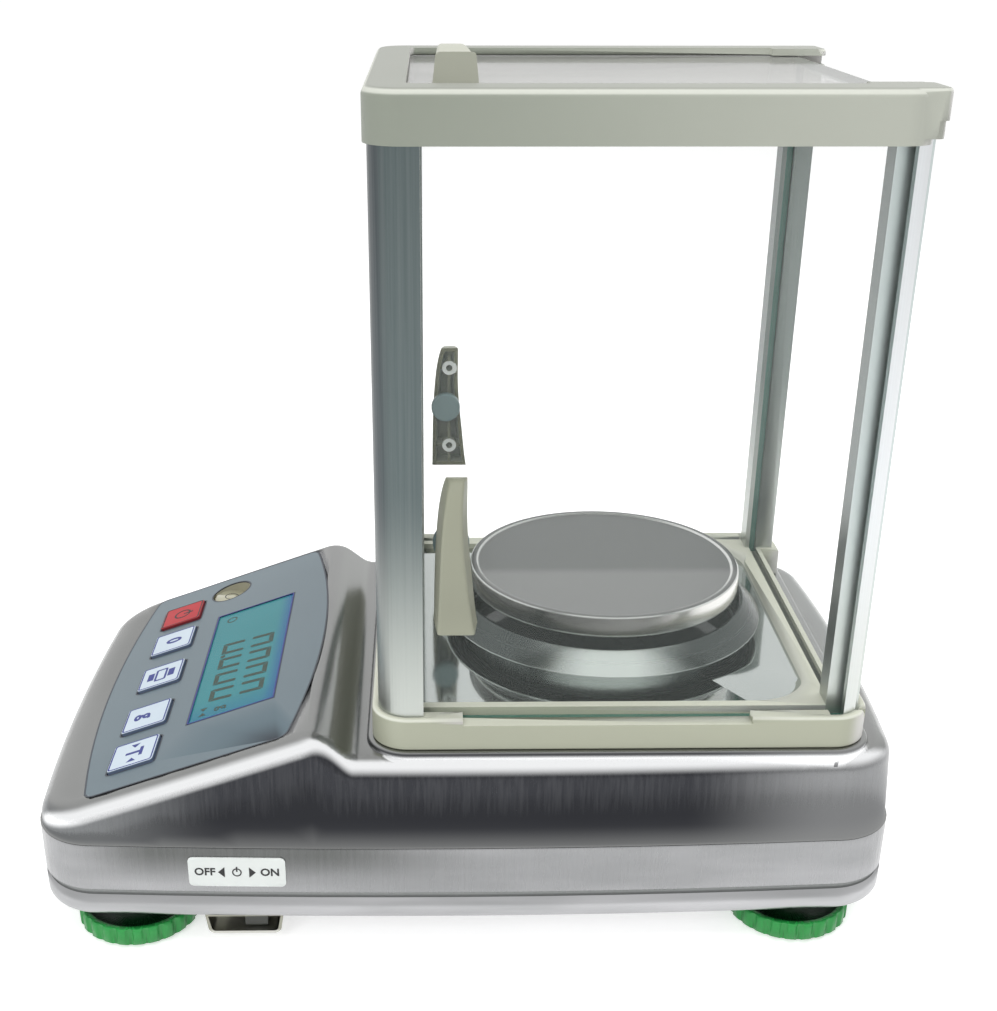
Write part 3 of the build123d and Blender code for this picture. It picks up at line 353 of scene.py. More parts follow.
def pan_steel():
    """The pan: a satin top in two greys, the split a painted reflection, and a dark brushed skirt, paler
    towards the back as painted reflection, with a painted highlight at its hem and under its rim.
    """
    f = Finish("pan_steel", metallic=1.0)
    x, y, z = f.parts(f.place())
    _, _, up = f.facing()
    fine = f.noise(1200, (0.06, 1, 1), 3.0, 0.6)
    hoops = f.noise(1200, (0.03, 0.03, 1), 3.0, 0.6)
    level = up.ramp(0.9, 0.97)
    # Painted reflection: the top a paler grey towards +X, with a straight boundary.
    satin = f.blend(x.ramp(5 * mm, 15 * mm), srgb(113, 115, 114), srgb(140, 141, 140))
    satin = f.blend(fine * 0.06, satin, srgb(180, 181, 180))
    # Painted highlight: bright at the skirt's hem and just under the rim.
    hem = (1 - z.ramp(118.2 * mm, 118.9 * mm)).most(z.ramp(125.6 * mm, 126.2 * mm))
    skirt = f.blend(hoops.ramp(0.3, 0.7), srgb(58, 58, 56), srgb(78, 78, 76))
    # Painted reflection: the skirt paler towards the back.
    skirt = f.blend(y.ramp(30 * mm, 70 * mm) * 0.3, skirt, srgb(150, 150, 147))
    skirt = f.blend(y.ramp(72 * mm, 100 * mm) * 0.9, skirt, srgb(224, 223, 220))
    skirt = f.blend(hem * 0.8, skirt, srgb(214, 217, 214))
    f.set("Base Color", f.blend(level, skirt, satin))
    f.set("Roughness", level * 0.16 + 0.24)
    return f.bump(fine * level + hoops * (1 - level), 0.04).material


def moulded(name, low, high, roughness):
    """Moulded plastic with a faint mottle and a fine grain."""
    f = Finish(name)
    clouds = f.noise(22, (1, 1, 1), 3.0)
    pores = f.noise(2600, (1, 1, 1), 2.0)
    f.set("Base Color", f.blend(clouds.ramp(0.25, 0.75), low, high))
    f.set("Roughness", pores * 0.12 + roughness)
    return f.bump(pores, 0.05, 0.0001).material


def anodised(name, outward_tint, front_tint, back_tint):
    """Satin aluminium: drawn lines along its length, faces tinted by the way they point as painted light and
    shade, and a painted reflection paler towards the foot.
    """
    f = Finish(name, metallic=1.0)
    x, _, z = f.parts(f.place())
    across, along, _ = f.facing()
    lines = f.noise(900, (1, 1, 0.01), 3.0, 0.6)
    # Painted light and shade: faces toward the middle dark; outward, front and back faces each take their own
    # tint.
    inward = (across * x.sign()).ramp(-0.5, -0.2)
    tint = f.blend(inward, srgb(100, 108, 105), outward_tint)
    tint = f.blend((0 - along).ramp(0.45, 0.8), tint, front_tint)
    tint = f.blend(along.ramp(0.45, 0.8), tint, back_tint)
    # Painted reflection: paler towards the foot.
    foot = 1 - z.ramp(92 * mm, 196 * mm)
    tint = f.blend(foot * 0.8, tint, srgb(190, 194, 188))
    f.set("Base Color", f.blend(lines * 0.12, tint, srgb(226, 229, 227)))
    f.set("Roughness", lines * 0.12 + 0.28)
    return f.bump(lines, 0.03).material


def frame_plastic(name, front, rear, top):
    """A moulded frame of the draft shield, graded to the back, with painted light on its rear-facing ends and
    its tops, and a painted highlight along its upper roundings.
    """
    f = Finish(name)
    _, y, _ = f.parts(f.place())
    _, along, up = f.facing()
    clouds = f.noise(22, (1, 1, 1), 3.0)
    pores = f.noise(2400, (1, 1, 1), 2.0)
    side = f.blend(y.ramp(-60 * mm, 170 * mm) * 0.9 + clouds * 0.1, front, rear)
    # Painted light: faces toward the back paler.
    side = f.blend(along.ramp(0.3, 0.8) * 0.8, side, srgb(228, 226, 224))
    # Painted light: upward faces take their own tint.
    colour = f.blend(up.ramp(0.3, 0.9) * 0.8, side, top)
    # Painted highlight along the upper roundings.
    rounding_highlight = up.ramp(0.25, 0.5) * (1 - up.ramp(0.75, 0.95))
    f.set("Base Color", f.blend(rounding_highlight * 0.5, colour, srgb(236, 238, 228)))
    f.set("Roughness", pores * 0.12 + 0.36)
    return f.bump(pores, 0.04, 0.0001).material


def handle_plastic():
    """The handles: pale outside, darker olive in their hollow backs as painted shade, the lid's handle paler
    as painted light, with pale bosses.
    """
    f = Finish("handle_plastic")
    x, y, z = f.parts(f.place())
    across, _, _ = f.facing()
    clouds = f.noise(22, (1, 1, 1), 3.0)
    pores = f.noise(2400, (1, 1, 1), 2.0)
    # Painted shade: the hollow backs darker olive.
    hollow = (across * x.sign()).below(-0.25) * z.below(220 * mm)
    pale = f.blend(clouds, srgb(144, 146, 128), srgb(158, 160, 142))
    # Painted light: the lid's handle, up top, paler.
    pale = f.blend(z.above(300 * mm), pale, f.blend(clouds, srgb(166, 168, 154), srgb(178, 180, 166)))
    olive = f.blend(clouds, srgb(88, 88, 64), srgb(108, 108, 82))
    colour = f.blend(hollow, pale, olive)
    flush = abs(x).below(86.6 * mm)
    for height in HANDLE_BOSSES:
        off_y = y - HANDLE_Y * mm
        off_z = z - height * mm
        ring = ((off_y * off_y + off_z * off_z) ** 0.5).below(BOSS_RADIUS * mm)
        colour = f.blend(ring * hollow * flush, colour, srgb(226, 230, 226))
    f.set("Base Color", colour)
    f.set("Roughness", pores * 0.12 + 0.32)
    return f.bump(pores, 0.04, 0.0001).material


def clear_glass(name, axis):
    """Sheet glass across one axis: nearly clear through its faces, green through its cut edges."""
    f = Finish(name, ior=1.5)
    rim = 1 - abs(f.facing()[axis]).ramp(0.4, 0.8)
    f.set("Base Color", f.blend(rim, (0.9, 1.0, 0.96), srgb(70, 118, 104)))
    f.set("Alpha", rim * 0.82 + 0.03)
    f.set("Roughness", rim * 0.12 + 0.02)
    return f.material


def lid_sheet():
    """The lid's glass: clear glass given a grey as painted reflection, a painted highlight as pale bands
    along its sides, green at its cut ends.
    """
    f = Finish("lid_sheet", ior=1.5)
    x, _, _ = f.parts(f.place())
    across, along, _ = f.facing()
    ends = abs(along).ramp(0.4, 0.8)
    # Painted highlight: a bright band just within each long side.
    side_highlight = abs(x).ramp(71.2 * mm, 71.8 * mm) * (1 - abs(x).ramp(74.2 * mm, 74.8 * mm)) * (1 - ends)
    clouds = f.noise(14, (1, 1, 1), 2.0)
    # Painted reflection: the grey stands for what the clear glass reflects and shows through.
    grey = f.blend(clouds, srgb(170, 170, 167), srgb(182, 182, 179))
    colour = f.blend(ends, grey, srgb(34, 74, 60))
    f.set("Base Color", f.blend(side_highlight, colour, srgb(250, 251, 250)))
    f.set("Alpha", (ends + side_highlight + abs(across).ramp(0.4, 0.8)).math("MINIMUM", 1.0) * 0.35 + 0.62)
    f.set("Roughness", clouds * 0.05 + 0.06)
    return f.material


def mirror_steel():
    """The polished floor plate, a little hazy, with painted shade as a dark disc under the pan within the
    wind ring.
    """
    f = Finish("mirror_steel", metallic=1.0)
    x, y, _ = f.parts(f.place())
    y = y - PAN_CENTRE.y
    # Painted shade: a dark disc under the pan, within the wind ring's collar.
    inside_shade = ((x * x + y * y) ** 0.5).below(COLLAR_RADIUS * mm)
    clouds = f.noise(12, (1, 1, 1), 2.0)
    polished = f.blend(clouds, srgb(176, 182, 179), srgb(194, 199, 197))
    f.set("Base Color", f.blend(inside_shade, polished, srgb(38, 40, 40)))
    f.set("Roughness", clouds * 0.03 + 0.05)
    return f.material


def printed_film():
    """The console film: blue-grey with a soft sheen and a dark cut edge."""
    f = Finish("printed_film", coat=0.3)
    f.set("Coat Roughness", 0.15)
    _, along, up = f.facing()
    face_on = up * cos(SLOPE) - along * sin(SLOPE)
    clouds = f.noise(16, (1, 1, 1), 2.0)
    pores = f.noise(2600, (1, 1, 1), 2.0)
    grey = f.blend(clouds, srgb(86, 103, 112), srgb(96, 113, 121))
    f.set("Base Color", f.blend(face_on.ramp(0.6, 0.95), srgb(40, 44, 52), grey))
    f.set("Roughness", pores * 0.1 + 0.34)
    return f.bump(pores, 0.03, 0.0001).material


def backlight():
    """The display's face: teal, deeper towards the right and blue along the back edge."""
    f = Finish("backlight")
    x, y, _ = f.parts(f.place())
    back = y.ramp(-84 * mm, -78 * mm)
    right = x.ramp(36 * mm, 56 * mm)
    clouds = f.noise(30, (1, 1, 1), 2.0)
    teal = f.blend(clouds, srgb(50, 124, 131), srgb(58, 134, 141))
    glow = f.blend(right * 0.8, teal, srgb(36, 108, 136))
    colour = f.blend(back * 0.8, glow, srgb(36, 92, 142))
    f.set("Base Color", colour)
    f.set("Emission Color", colour)
    f.set("Emission Strength", 0.15)
    f.set("Specular IOR Level", 0.15)
    f.set("Roughness", clouds * 0.05 + 0.15)
    return f.material


def ink(name, colour):
    """Printing ink, slightly uneven."""
    f = Finish(name)
    clouds = f.noise(700, (1, 1, 1), 2.0)
    light = tuple(min(1.0, c * 1.25 + 0.01) for c in colour)
    f.set("Base Color", f.blend(clouds, colour, light))
    f.set("Roughness", clouds * 0.1 + 0.45)
    return f.material


def key_face(name, low, high, side, coat, gloss):
    """A key: smooth print on its face, and sides darkened as painted shade so that it looks flush with the
    film.
    """
    f = Finish(name, coat=coat)
    f.set("Coat Roughness", 0.1)
    f.set("Specular IOR Level", gloss)
    _, along, up = f.facing()
    face_on = up * cos(SLOPE) - along * sin(SLOPE)
    clouds = f.noise(40, (1, 1, 1), 2.0)
    # Painted shade on the key's sides.
    f.set("Base Color", f.blend(face_on.ramp(0.6, 0.9), side, f.blend(clouds, low, high)))
    f.set("Roughness", clouds * 0.08 + 0.3)
    return f.material


def green_plastic():
    """The feet: glossy green, with painted shade down in the wheel's bore."""
    f = Finish("green_plastic")
    x, y, z = f.parts(f.place())
    off_x = abs(x) - FOOT_X * mm
    off_y = abs(y) - FOOT_Y * mm
    radius = (off_x * off_x + off_y * off_y) ** 0.5
    clouds = f.noise(60, (1, 1, 1), 3.0)
    pores = f.noise(1800, (1, 1, 1), 2.0)
    green = f.blend(clouds, srgb(28, 138, 58), srgb(50, 164, 80))
    # Painted shade: dark down in the wheel's bore.
    inside_shade = radius.below(WHEEL_BORE * mm) * z.above(1.5 * mm)
    f.set("Base Color", f.blend(inside_shade * 0.94, green, srgb(2, 26, 12)))
    f.set("Roughness", pores * 0.12 + 0.24)
    return f.bump(pores, 0.04, 0.0001).material


def machined(name, low, high, roughness=0.3):
    """Plain machined or plated metal."""
    f = Finish(name, metallic=1.0)
    grain = f.noise(800, (1, 0.1, 1), 3.0)
    f.set("Base Color", f.blend(grain, low, high))
    f.set("Roughness", grain * 0.15 + roughness)
    return f.bump(grain, 0.05).material


def circuit_board():
    """Green solder mask with paler tracks."""
    f = Finish("circuit_board")
    tracks = f.noise(260, (1, 0.15, 1), 1.0)
    f.set("Base Color", f.blend(tracks.above(0.56), srgb(14, 84, 40), srgb(40, 122, 64)))
    f.set("Roughness", tracks * 0.1 + 0.3)
    return f.material


def level_liquid():
    """The level's pale yellow liquid."""
    f = Finish("level_liquid", coat=0.6)
    clouds = f.noise(60, (1, 1, 1), 2.0)
    f.set("Base Color", f.blend(clouds, srgb(160, 158, 136), srgb(188, 186, 160)))
    f.set("Roughness", clouds * 0.05 + 0.12)
    return f.material


def window_cover():
    """The clear cover over the display."""
    f = Finish("window_cover", ior=1.45)
    facing = abs(f.facing()[0])
    f.set("Base Color", f.blend(facing, srgb(20, 44, 50), srgb(50, 80, 130)))
    f.set("Alpha", facing * 0.5 + 0.05)
    f.set("Roughness", facing * 0.1 + 0.06)
    return f.material


finishes = {
    "housing": housing_steel(),
    "tray": tray_steel(),
    "guard": guard_steel(),
    "gasket": gasket_strip(),
    "pan": pan_steel(),
    "ring": ring_steel(),
    "top_frame": frame_plastic(
        "top_frame_plastic", srgb(134, 140, 128), srgb(184, 187, 176), srgb(134, 136, 128)
    ),
    "base_frame": frame_plastic(
        "base_frame_plastic", srgb(172, 175, 156), srgb(180, 183, 163), srgb(214, 216, 200)
    ),
    "handle": handle_plastic(),
    # Painted light: lit and shaded copies of one anodised finish, dark for the front columns, pale for the
    # back columns and covers.
    "front_column": anodised("front_column", srgb(74, 86, 87), srgb(58, 66, 70), srgb(112, 117, 116)),
    "rear_column": anodised("rear_column", srgb(190, 199, 198), srgb(96, 103, 101), srgb(190, 192, 194)),
    "cover": anodised("column_cover", srgb(212, 215, 217), srgb(150, 160, 158), srgb(206, 208, 210)),
    "side_glass": clear_glass("side_glass", 0),
    "end_glass": clear_glass("end_glass", 1),
    "lid_glass": lid_sheet(),
    "mirror": mirror_steel(),
    "film": printed_film(),
    "backlight": backlight(),
    "window": window_cover(),
    "digit": ink("display_segments", srgb(40, 62, 52)),
    "navy": ink("navy_ink", srgb(38, 48, 120)),
    "line": ink("edge_ink", srgb(58, 64, 72)),
    "black": ink("black_ink", srgb(20, 20, 22)),
    "key_white": key_face("key_white", srgb(186, 202, 216), srgb(208, 221, 231), srgb(74, 88, 112), 0.3, 0.5),
    "key_red": key_face("key_red", srgb(174, 42, 48), srgb(188, 54, 60), srgb(110, 38, 44), 0.0, 0.15),
    "label": moulded("label_stock", srgb(228, 234, 231), srgb(238, 242, 240), 0.5),
    "green": green_plastic(),
    "rubber": moulded("black_rubber", srgb(22, 22, 23), srgb(34, 34, 35), 0.7),
    "dark": moulded("dark_plastic", srgb(24, 24, 26), srgb(36, 36, 38), 0.5),
    "grey": moulded("grey_plastic", srgb(60, 62, 58), srgb(76, 78, 74), 0.4),
    "khaki": moulded("khaki_plastic", srgb(126, 124, 104), srgb(146, 143, 121), 0.4),
    "disc": moulded("disc_plastic", srgb(98, 118, 120), srgb(112, 131, 132), 0.35),
    "plated": machined("plated_steel", srgb(150, 152, 154), srgb(205, 206, 208), 0.2),
    "machined": machined("machined_aluminium", srgb(160, 163, 166), srgb(200, 202, 204)),
    "shaded": machined("shaded_steel", srgb(62, 64, 64), srgb(84, 86, 86), 0.4),
    "brass": machined("turned_brass", srgb(178, 140, 70), srgb(214, 180, 104)),
    "board": circuit_board(),
    "liquid": level_liquid(),
}


def finish_mesh(name, mesh_data, body, finish, smooth=35):
    """Turns a bmesh into a finished piece that rides on a body."""
    mesh = bpy.data.meshes.new(name)
    mesh_data.to_mesh(mesh)
    mesh_data.free()
    mesh.materials.append(finishes[finish])
    piece = bpy.data.objects.new(name, mesh)
    bpy.context.scene.collection.objects.link(piece)
    if smooth:
        mesh.shade_smooth()
        mesh.set_sharp_from_angle(angle=radians(smooth))
    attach(piece, body)
    return piece


def dressed_copy(node, finish, smooth):
    """A merged, smoothly shaded copy that stands for a CAD node with curved faces."""
    source = frame["nodes"][node]
    shape = bmesh.new()
    shape.from_mesh(source.data)
    bmesh.ops.remove_doubles(shape, verts=shape.verts, dist=0.000002)
    slot = next(p["material_slot"] for p in frame["record"]["subparts"] if p["node"] == node)
    piece = finish_mesh(node + "_skin", shape, source["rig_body"], finish, smooth)
    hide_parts(node)
    return piece


def give_finish(node, finish):
    """Puts a finish on a CAD node that keeps its own mesh."""
    mesh = frame["nodes"][node].data
    mesh.materials.clear()
    mesh.materials.append(finishes[finish])


def turned_profile(points, segments):
    """A closed ring or dish: an outline of radius and height in millimetres, spun about the pan's axis."""
    shape = bmesh.new()
    verts = [shape.verts.new((r * mm, PAN_CENTRE.y, z * mm)) for r, z in points]
    edges = [shape.edges.new((a, b)) for a, b in zip(verts, verts[1:])]
    bmesh.ops.spin(
        shape, geom=verts + edges, cent=PAN_CENTRE, axis=(0, 0, 1),
        angle=2 * pi, steps=segments, use_merge=True
    )
    bmesh.ops.remove_doubles(shape, verts=shape.verts, dist=0.000001)
    bmesh.ops.recalc_face_normals(shape, faces=shape.faces)
    return shape


def console_place(x, u, height=0.0):
    """The place of a piece on the console, from millimetres on its own axes."""
    right = Vector((1, 0, 0))
    along = Vector((0, cos(SLOPE), sin(SLOPE)))
    off = Vector((0, -sin(SLOPE), cos(SLOPE)))
    origin = CONSOLE_POINT + (right * x + along * u + off * height) * mm
    turn = Matrix((right, along, off)).transposed().to_4x4()
    return Matrix.Translation(origin) @ turn


def plate(shape, outline, thickness, place):
    """Adds a flat plate with the given outline, in millimetres, to a bmesh."""
    verts = [shape.verts.new((x * mm, y * mm, 0)) for x, y in outline]
    face = shape.faces.new(verts)
    lifted = bmesh.ops.extrude_face_region(shape, geom=[face])["geom"]
    raised = [v for v in lifted if isinstance(v, bmesh.types.BMVert)]
    bmesh.ops.translate(shape, verts=raised, vec=(0, 0, thickness * mm))
    bmesh.ops.transform(shape, matrix=place, verts=verts + raised)
    return verts + raised


def rounded_box(width, height, radius):
    """A rounded rectangle's outline in millimetres."""
    points, steps = [], 5
    for quarter in range(4):
        cx = (width / 2 - radius) * (1 if quarter in (0, 3) else -1)
        cy = (height / 2 - radius) * (1 if quarter in (0, 1) else -1)
        for step in range(steps + 1):
            turn = pi / 2 * (quarter + step / steps)
            points.append((cx + radius * cos(turn), cy + radius * sin(turn)))
    return points


def ring_plate(shape, outer, inner, thickness, place):
    """Adds a flat frame between two outlines of as many points."""
    count = len(outer)
    a = [shape.verts.new((x * mm, y * mm, 0)) for x, y in outer]
    b = [shape.verts.new((x * mm, y * mm, 0)) for x, y in inner]
    faces = [shape.faces.new((a[i], a[(i + 1) % count], b[(i + 1) % count], b[i])) for i in range(count)]
    lifted = bmesh.ops.extrude_face_region(shape, geom=faces)["geom"]
    raised = [v for v in lifted if isinstance(v, bmesh.types.BMVert)]
    bmesh.ops.translate(shape, verts=raised, vec=(0, 0, thickness * mm))
    bmesh.ops.transform(shape, matrix=place, verts=a + b + raised)


def circle(radius, steps):
    """A circle's outline in millimetres."""
    turns = [2 * pi * i / steps for i in range(steps)]
    return [(radius * cos(a), radius * sin(a)) for a in turns]


def raised(height):
    """A shift straight off a piece's own plane, in millimetres."""
    return Matrix.Translation((0, 0, height * mm))


def lettering(name, words, height, thickness, place, body, finish, bold=0.0):
    """Raised print from a text object, made a mesh before it is placed."""
    curve = bpy.data.curves.new(name, "FONT")
    curve.body = words
    curve.size = height * mm / 0.72
    curve.align_x = "CENTER"
    curve.align_y = "CENTER"
    curve.extrude = thickness * mm / 2
    curve.offset = bold * mm
    curve.resolution_u = 3
    holder = bpy.data.objects.new(name, curve)
    bpy.context.scene.collection.objects.link(holder)
    bpy.context.view_layer.update()
    mesh = bpy.data.meshes.new_from_object(holder.evaluated_get(bpy.context.evaluated_depsgraph_get()))
    bpy.data.objects.remove(holder)
    shape = bmesh.new()
    shape.from_mesh(mesh)
    bmesh.ops.transform(shape, matrix=place @ raised(thickness / 2), verts=shape.verts)
    bmesh.ops.remove_doubles(shape, verts=shape.verts, dist=0.000001)
    return finish_mesh(name, shape, body, finish, 0)


def make_pan():
    """The pan: satin top, polished rolled rim, brushed skirt with a rolled hem."""
    outline = [(0, 125.8), (53.2, 125.8), (53.9, 125.86), (54.3, 126.1), (54.7, 126.45), (55.3, 126.6)]
    outline += [(56.2, 126.55)]
    outline += [(56.2 + 1.3 * sin(a), 125.25 + 1.3 * cos(a)) for a in (pi / 6, pi / 3, pi / 2)]
    outline += [(57.5, 118.6), (57.35, 118.0), (56.9, 117.55), (56.3, 117.4), (55.8, 117.55), (55.6, 118.0)]
    outline += [(55.6, 123.4), (55.0, 124.0), (9.0, 124.0), (0, 124.0)]
    piece = finish_mesh("pan_dish", turned_profile(outline, 160), "pan", "pan", 28)
    socket = turned_profile([(5.1, 117.1), (9.0, 117.1), (9.0, 124.1), (5.1, 124.1), (5.1, 117.1)], 48)
    finish_mesh("pan_socket", socket, "pan", "machined", 35)
    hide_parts("pan")


def make_ring():
    """The wind ring: an upright collar with a skirt folded out from its top."""
    outline = [(58.8, 98.4), (58.8, 113.0), (59.2, 113.4), (60.1, 113.4), (60.6, 113.1)]
    outline += [(67.5, 106.1), (67.8, 105.5), (67.7, 105.05), (67.2, 105.0), (66.6, 105.3)]
    outline += [(60.0, 111.4), (60.0, 98.4), (58.8, 98.4)]
    piece = finish_mesh("wind_ring_spun", turned_profile(outline, 176), "ring", "ring", 30)
    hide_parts("wind_ring")


def segment_digit(shape, x, u, height_off):
    """One seven-bar nought, leaning to the right, its long bars well apart at the middle."""
    width, height, stroke, gap, break_half, lean = 10.2, 25.0, 2.2, 0.35, 2.2, 0.125
    w, h, s = width / 2, height / 2, stroke
    top = [(-w + gap, h), (w - gap, h), (w - s, h - s), (-w + s, h - s)]
    long_bar = [(w, h - gap), (w, break_half), (w - s * 0.5, break_half - 0.5)]
    long_bar += [(w - s, break_half), (w - s, h - s - gap)]
    bars = [top, long_bar, [(-px, py) for px, py in reversed(long_bar)]]
    bars += [[(px, -py) for px, py in reversed(bar)] for bar in bars]
    for bar in bars:
        plate(shape, [(px + (py + h) * lean, py) for px, py in bar], 0.04, console_place(x, u, height_off))


def make_display():
    """The display's figures, unit and stability marks on a lit face."""
    face = bmesh.new()
    plate(face, rounded_box(100.4, 37.9, 0.5), PRINT, console_place(SCREEN_X, SCREEN_U, SCREEN_FACE))
    finish_mesh("display_face", face, "housing", "backlight", 0)
    off = SCREEN_FACE + 0.06
    figures = bmesh.new()
    for index in range(4):
        segment_digit(figures, -8.6 + 14.2 * index, -32.2, off)
    plate(figures, rounded_box(2.2, 2.2, 0.7), 0.04, console_place(-1.4, -43.6, off))
    ring_plate(figures, circle(2.6, 20), circle(1.9, 20), 0.04, console_place(-39.0, -44.0, off))
    for side in (-1, 1):
        arrow = [(side * 0.6, 0), (side * 3.2, 1.7), (side * 3.2, -1.7)]
        arrow = arrow if side < 0 else arrow[::-1]
        plate(figures, arrow, 0.04, console_place(47.0, -45.8, off))
    finish_mesh("display_figures", figures, "housing", "digit", 0)
    unit_place = console_place(47.6, -36.5, off)
    lettering("display_unit", "g", 5.6, 0.06, unit_place, "housing", "digit", 0.1)
    border = bmesh.new()
    outer, inner = rounded_box(101.0, 38.5, 0.8), rounded_box(99.8, 37.3, 0.5)
    ring_plate(border, outer, inner, PRINT, console_place(SCREEN_X, SCREEN_U, 0.1))
    finish_mesh("window_border", border, "housing", "navy", 0)


def make_film_border():
    """A thin dark line round the film and its openings, inset from the film's own edges."""
    border = bmesh.new()
    border.from_mesh(frame["nodes"]["keypad_overlay"].data)
    bmesh.ops.remove_doubles(border, verts=border.verts, dist=0.000002)
    off = console_place(0, 0).to_3x3().col[2]
    above = console_place(0, 0, -0.05).translation
    rest = [
        g for g in border.faces
        if g.normal.dot(off) < 0.99 or (g.calc_center_median() - above).dot(off) < 0
    ]
    bmesh.ops.delete(border, geom=rest, context="FACES")
    thin = bmesh.ops.inset_region(border, faces=border.faces, thickness=0.7 * mm, use_boundary=True)["faces"]
    inner = [g for g in border.faces if g not in set(thin)]
    bmesh.ops.delete(border, geom=inner, context="FACES")
    bmesh.ops.translate(border, verts=border.verts, vec=off * 0.04 * mm)
    finish_mesh("film_border", border, "housing", "line", 0)


def make_key_print():
    """A border and a plain mark on each key's face."""
    marks = {"key_zero": "0", "key_unit": "g", "key_tare": "T"}
    for key in KEYS:
        low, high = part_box(key)
        place = console_place((low.x + high.x) / 2 / mm, KEY_U, KEY_TOP)
        red = key == "key_on_off"
        shape = bmesh.new()
        ring_plate(shape, rounded_box(19.0, 19.0, 1.1), rounded_box(17.8, 17.8, 0.8), PRINT, place)
        if red:
            ring_plate(shape, circle(4.2, 36), circle(3.3, 36), PRINT, place)
            plate(shape, [(-0.5, 0.6), (0.5, 0.6), (0.5, 5.4), (-0.5, 5.4)], PRINT + 0.02, place)
        elif key == "key_print":
            ring_plate(shape, rounded_box(10.4, 5.6, 0.8), rounded_box(8.4, 3.6, 0.4), PRINT, place)
            for side in (-1, 1):
                sheet = [(-3.2, side * 3.4), (3.2, side * 3.4), (3.2, side * 6.4), (-3.2, side * 6.4)]
                plate(shape, sheet if side > 0 else sheet[::-1], PRINT, place)
        elif key == "key_tare":
            for side in (-1, 1):
                head = [(side * 3.9, 0), (side * 6.6, 2.0), (side * 6.6, -2.0)]
                plate(shape, head if side < 0 else head[::-1], PRINT, place)
        finish_mesh(key + "_print", shape, key, "black" if red else "navy", 0)
        if key in marks:
            lettering(key + "_mark", marks[key], 7.4, PRINT, place, key, "navy", 0.3)


def side_place(y, z, off):
    """The place of a piece on the right side's bulge, reading from front to back."""
    slope = -2 * SIDE_BULGE * y / SIDE_REACH**2
    x = HALF_WIDTH - SIDE_BULGE * (y / SIDE_REACH) ** 2 + off
    along = Vector((slope, 1, 0)).normalized()
    up = Vector((0, 0, 1))
    turn = Matrix((along, up, along.cross(up))).transposed().to_4x4()
    return Matrix.Translation((x * mm, y * mm, z * mm)) @ turn


def make_switch_print():
    """Off and on, with arrows and a power mark between them, on the switch plate."""
    proud, thick = 0.48, 0.12
    for words, offset in (("OFF", -12.6), ("ON", 13.0)):
        place = side_place(PLATE_Y + offset, PLATE_Z, proud)
        lettering("switch_" + words.lower(), words, 3.4, thick, place, "housing", "black", 0.12)
    marks = bmesh.new()
    middle = side_place(PLATE_Y, PLATE_Z, proud)
    for side in (-1, 1):
        arrow = [(side * 7.4, 0), (side * 4.8, 2.4), (side * 4.8, -2.4)]
        arrow = arrow[::-1] if side < 0 else arrow
        plate(marks, arrow, thick, middle)
    ring_plate(marks, circle(1.9, 28), circle(1.4, 28), thick, middle)
    plate(marks, [(-0.3, 0.3), (0.3, 0.3), (0.3, 2.6), (-0.3, 2.6)], thick + 0.02, middle)
    finish_mesh("switch_arrows", marks, "housing", "black", 0)


def make_level_marks():
    """The level's bubble and its centre circle."""
    low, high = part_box("level_vial")
    centre = (low + high) / 2
    top = high.z / mm
    place = Matrix.Translation((centre.x, centre.y, 0))
    marks = bmesh.new()
    ring_plate(marks, circle(3.4, 40), circle(3.05, 40), 0.08, place @ raised(top))
    finish_mesh("level_circle", marks, "housing", "black", 0)
    bubble = bmesh.new()
    bmesh.ops.create_uvsphere(bubble, u_segments=32, v_segments=12, radius=2.4 * mm)
    squash = Matrix.Diagonal((1, 1, 0.22, 1))
    adrift = place @ Matrix.Translation((0.4 * mm, 0.3 * mm, top * mm))
    bmesh.ops.transform(bubble, matrix=adrift @ squash, verts=bubble.verts)
    finish_mesh("level_bubble", bubble, "housing", "liquid", 60)


def screw_head(shape, radius, height, place):
    """Adds a tapered screw head with a cross on its top."""
    made = bmesh.ops.create_cone(
        shape, cap_ends=True, segments=28, radius1=radius * mm, radius2=radius * 0.8 * mm, depth=height * mm
    )
    verts = made["verts"]
    bmesh.ops.transform(shape, matrix=place @ raised(height / 2), verts=verts)
    reach, half = radius * 0.55, 0.22
    for turn in (0, pi / 2):
        bar = [(-reach, -half), (reach, -half), (reach, half), (-reach, half)]
        plate(shape, bar, 0.04, place @ Matrix.Rotation(turn, 4, "Z") @ raised(height))


def make_stud_threads():
    """Thread turns on each levelling stud, between its wheel and the tray."""
    pitch, crest, depth, turns, steps = 1.25, 4.0, 0.45, 2, 40
    for foot in FEET:
        low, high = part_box("foot_stud_" + foot)
        centre = (low + high) / 2
        coil = bmesh.new()
        outline = ((crest - depth, 10.5), (crest, 10.9), (crest, 11.0), (crest - depth, 11.4))
        verts = [coil.verts.new((centre.x + r * mm, centre.y, z * mm)) for r, z in outline]
        edges = [coil.edges.new(pair) for pair in zip(verts, verts[1:])]
        bmesh.ops.spin(
            coil, geom=verts + edges, cent=centre, axis=(0, 0, 1), dvec=(0, 0, pitch / steps * mm),
            angle=2 * pi * turns, steps=turns * steps
        )
        bmesh.ops.recalc_face_normals(coil, faces=coil.faces)
        finish_mesh("stud_thread_" + foot, coil, "stud_" + foot, "shaded", 40)


def make_tray_screws():
    """Screws under the tray, near its corners and along its sides."""
    floor_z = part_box("bottom_tray")[0].z
    flip = Matrix.Rotation(pi, 4, "X")
    screws = bmesh.new()
    for x, y in TRAY_SCREWS:
        screw_head(screws, 3.0, 0.9, Matrix.Translation((x * mm, y * mm, floor_z)) @ flip)
    finish_mesh("tray_screws", screws, "housing", "plated", 35)


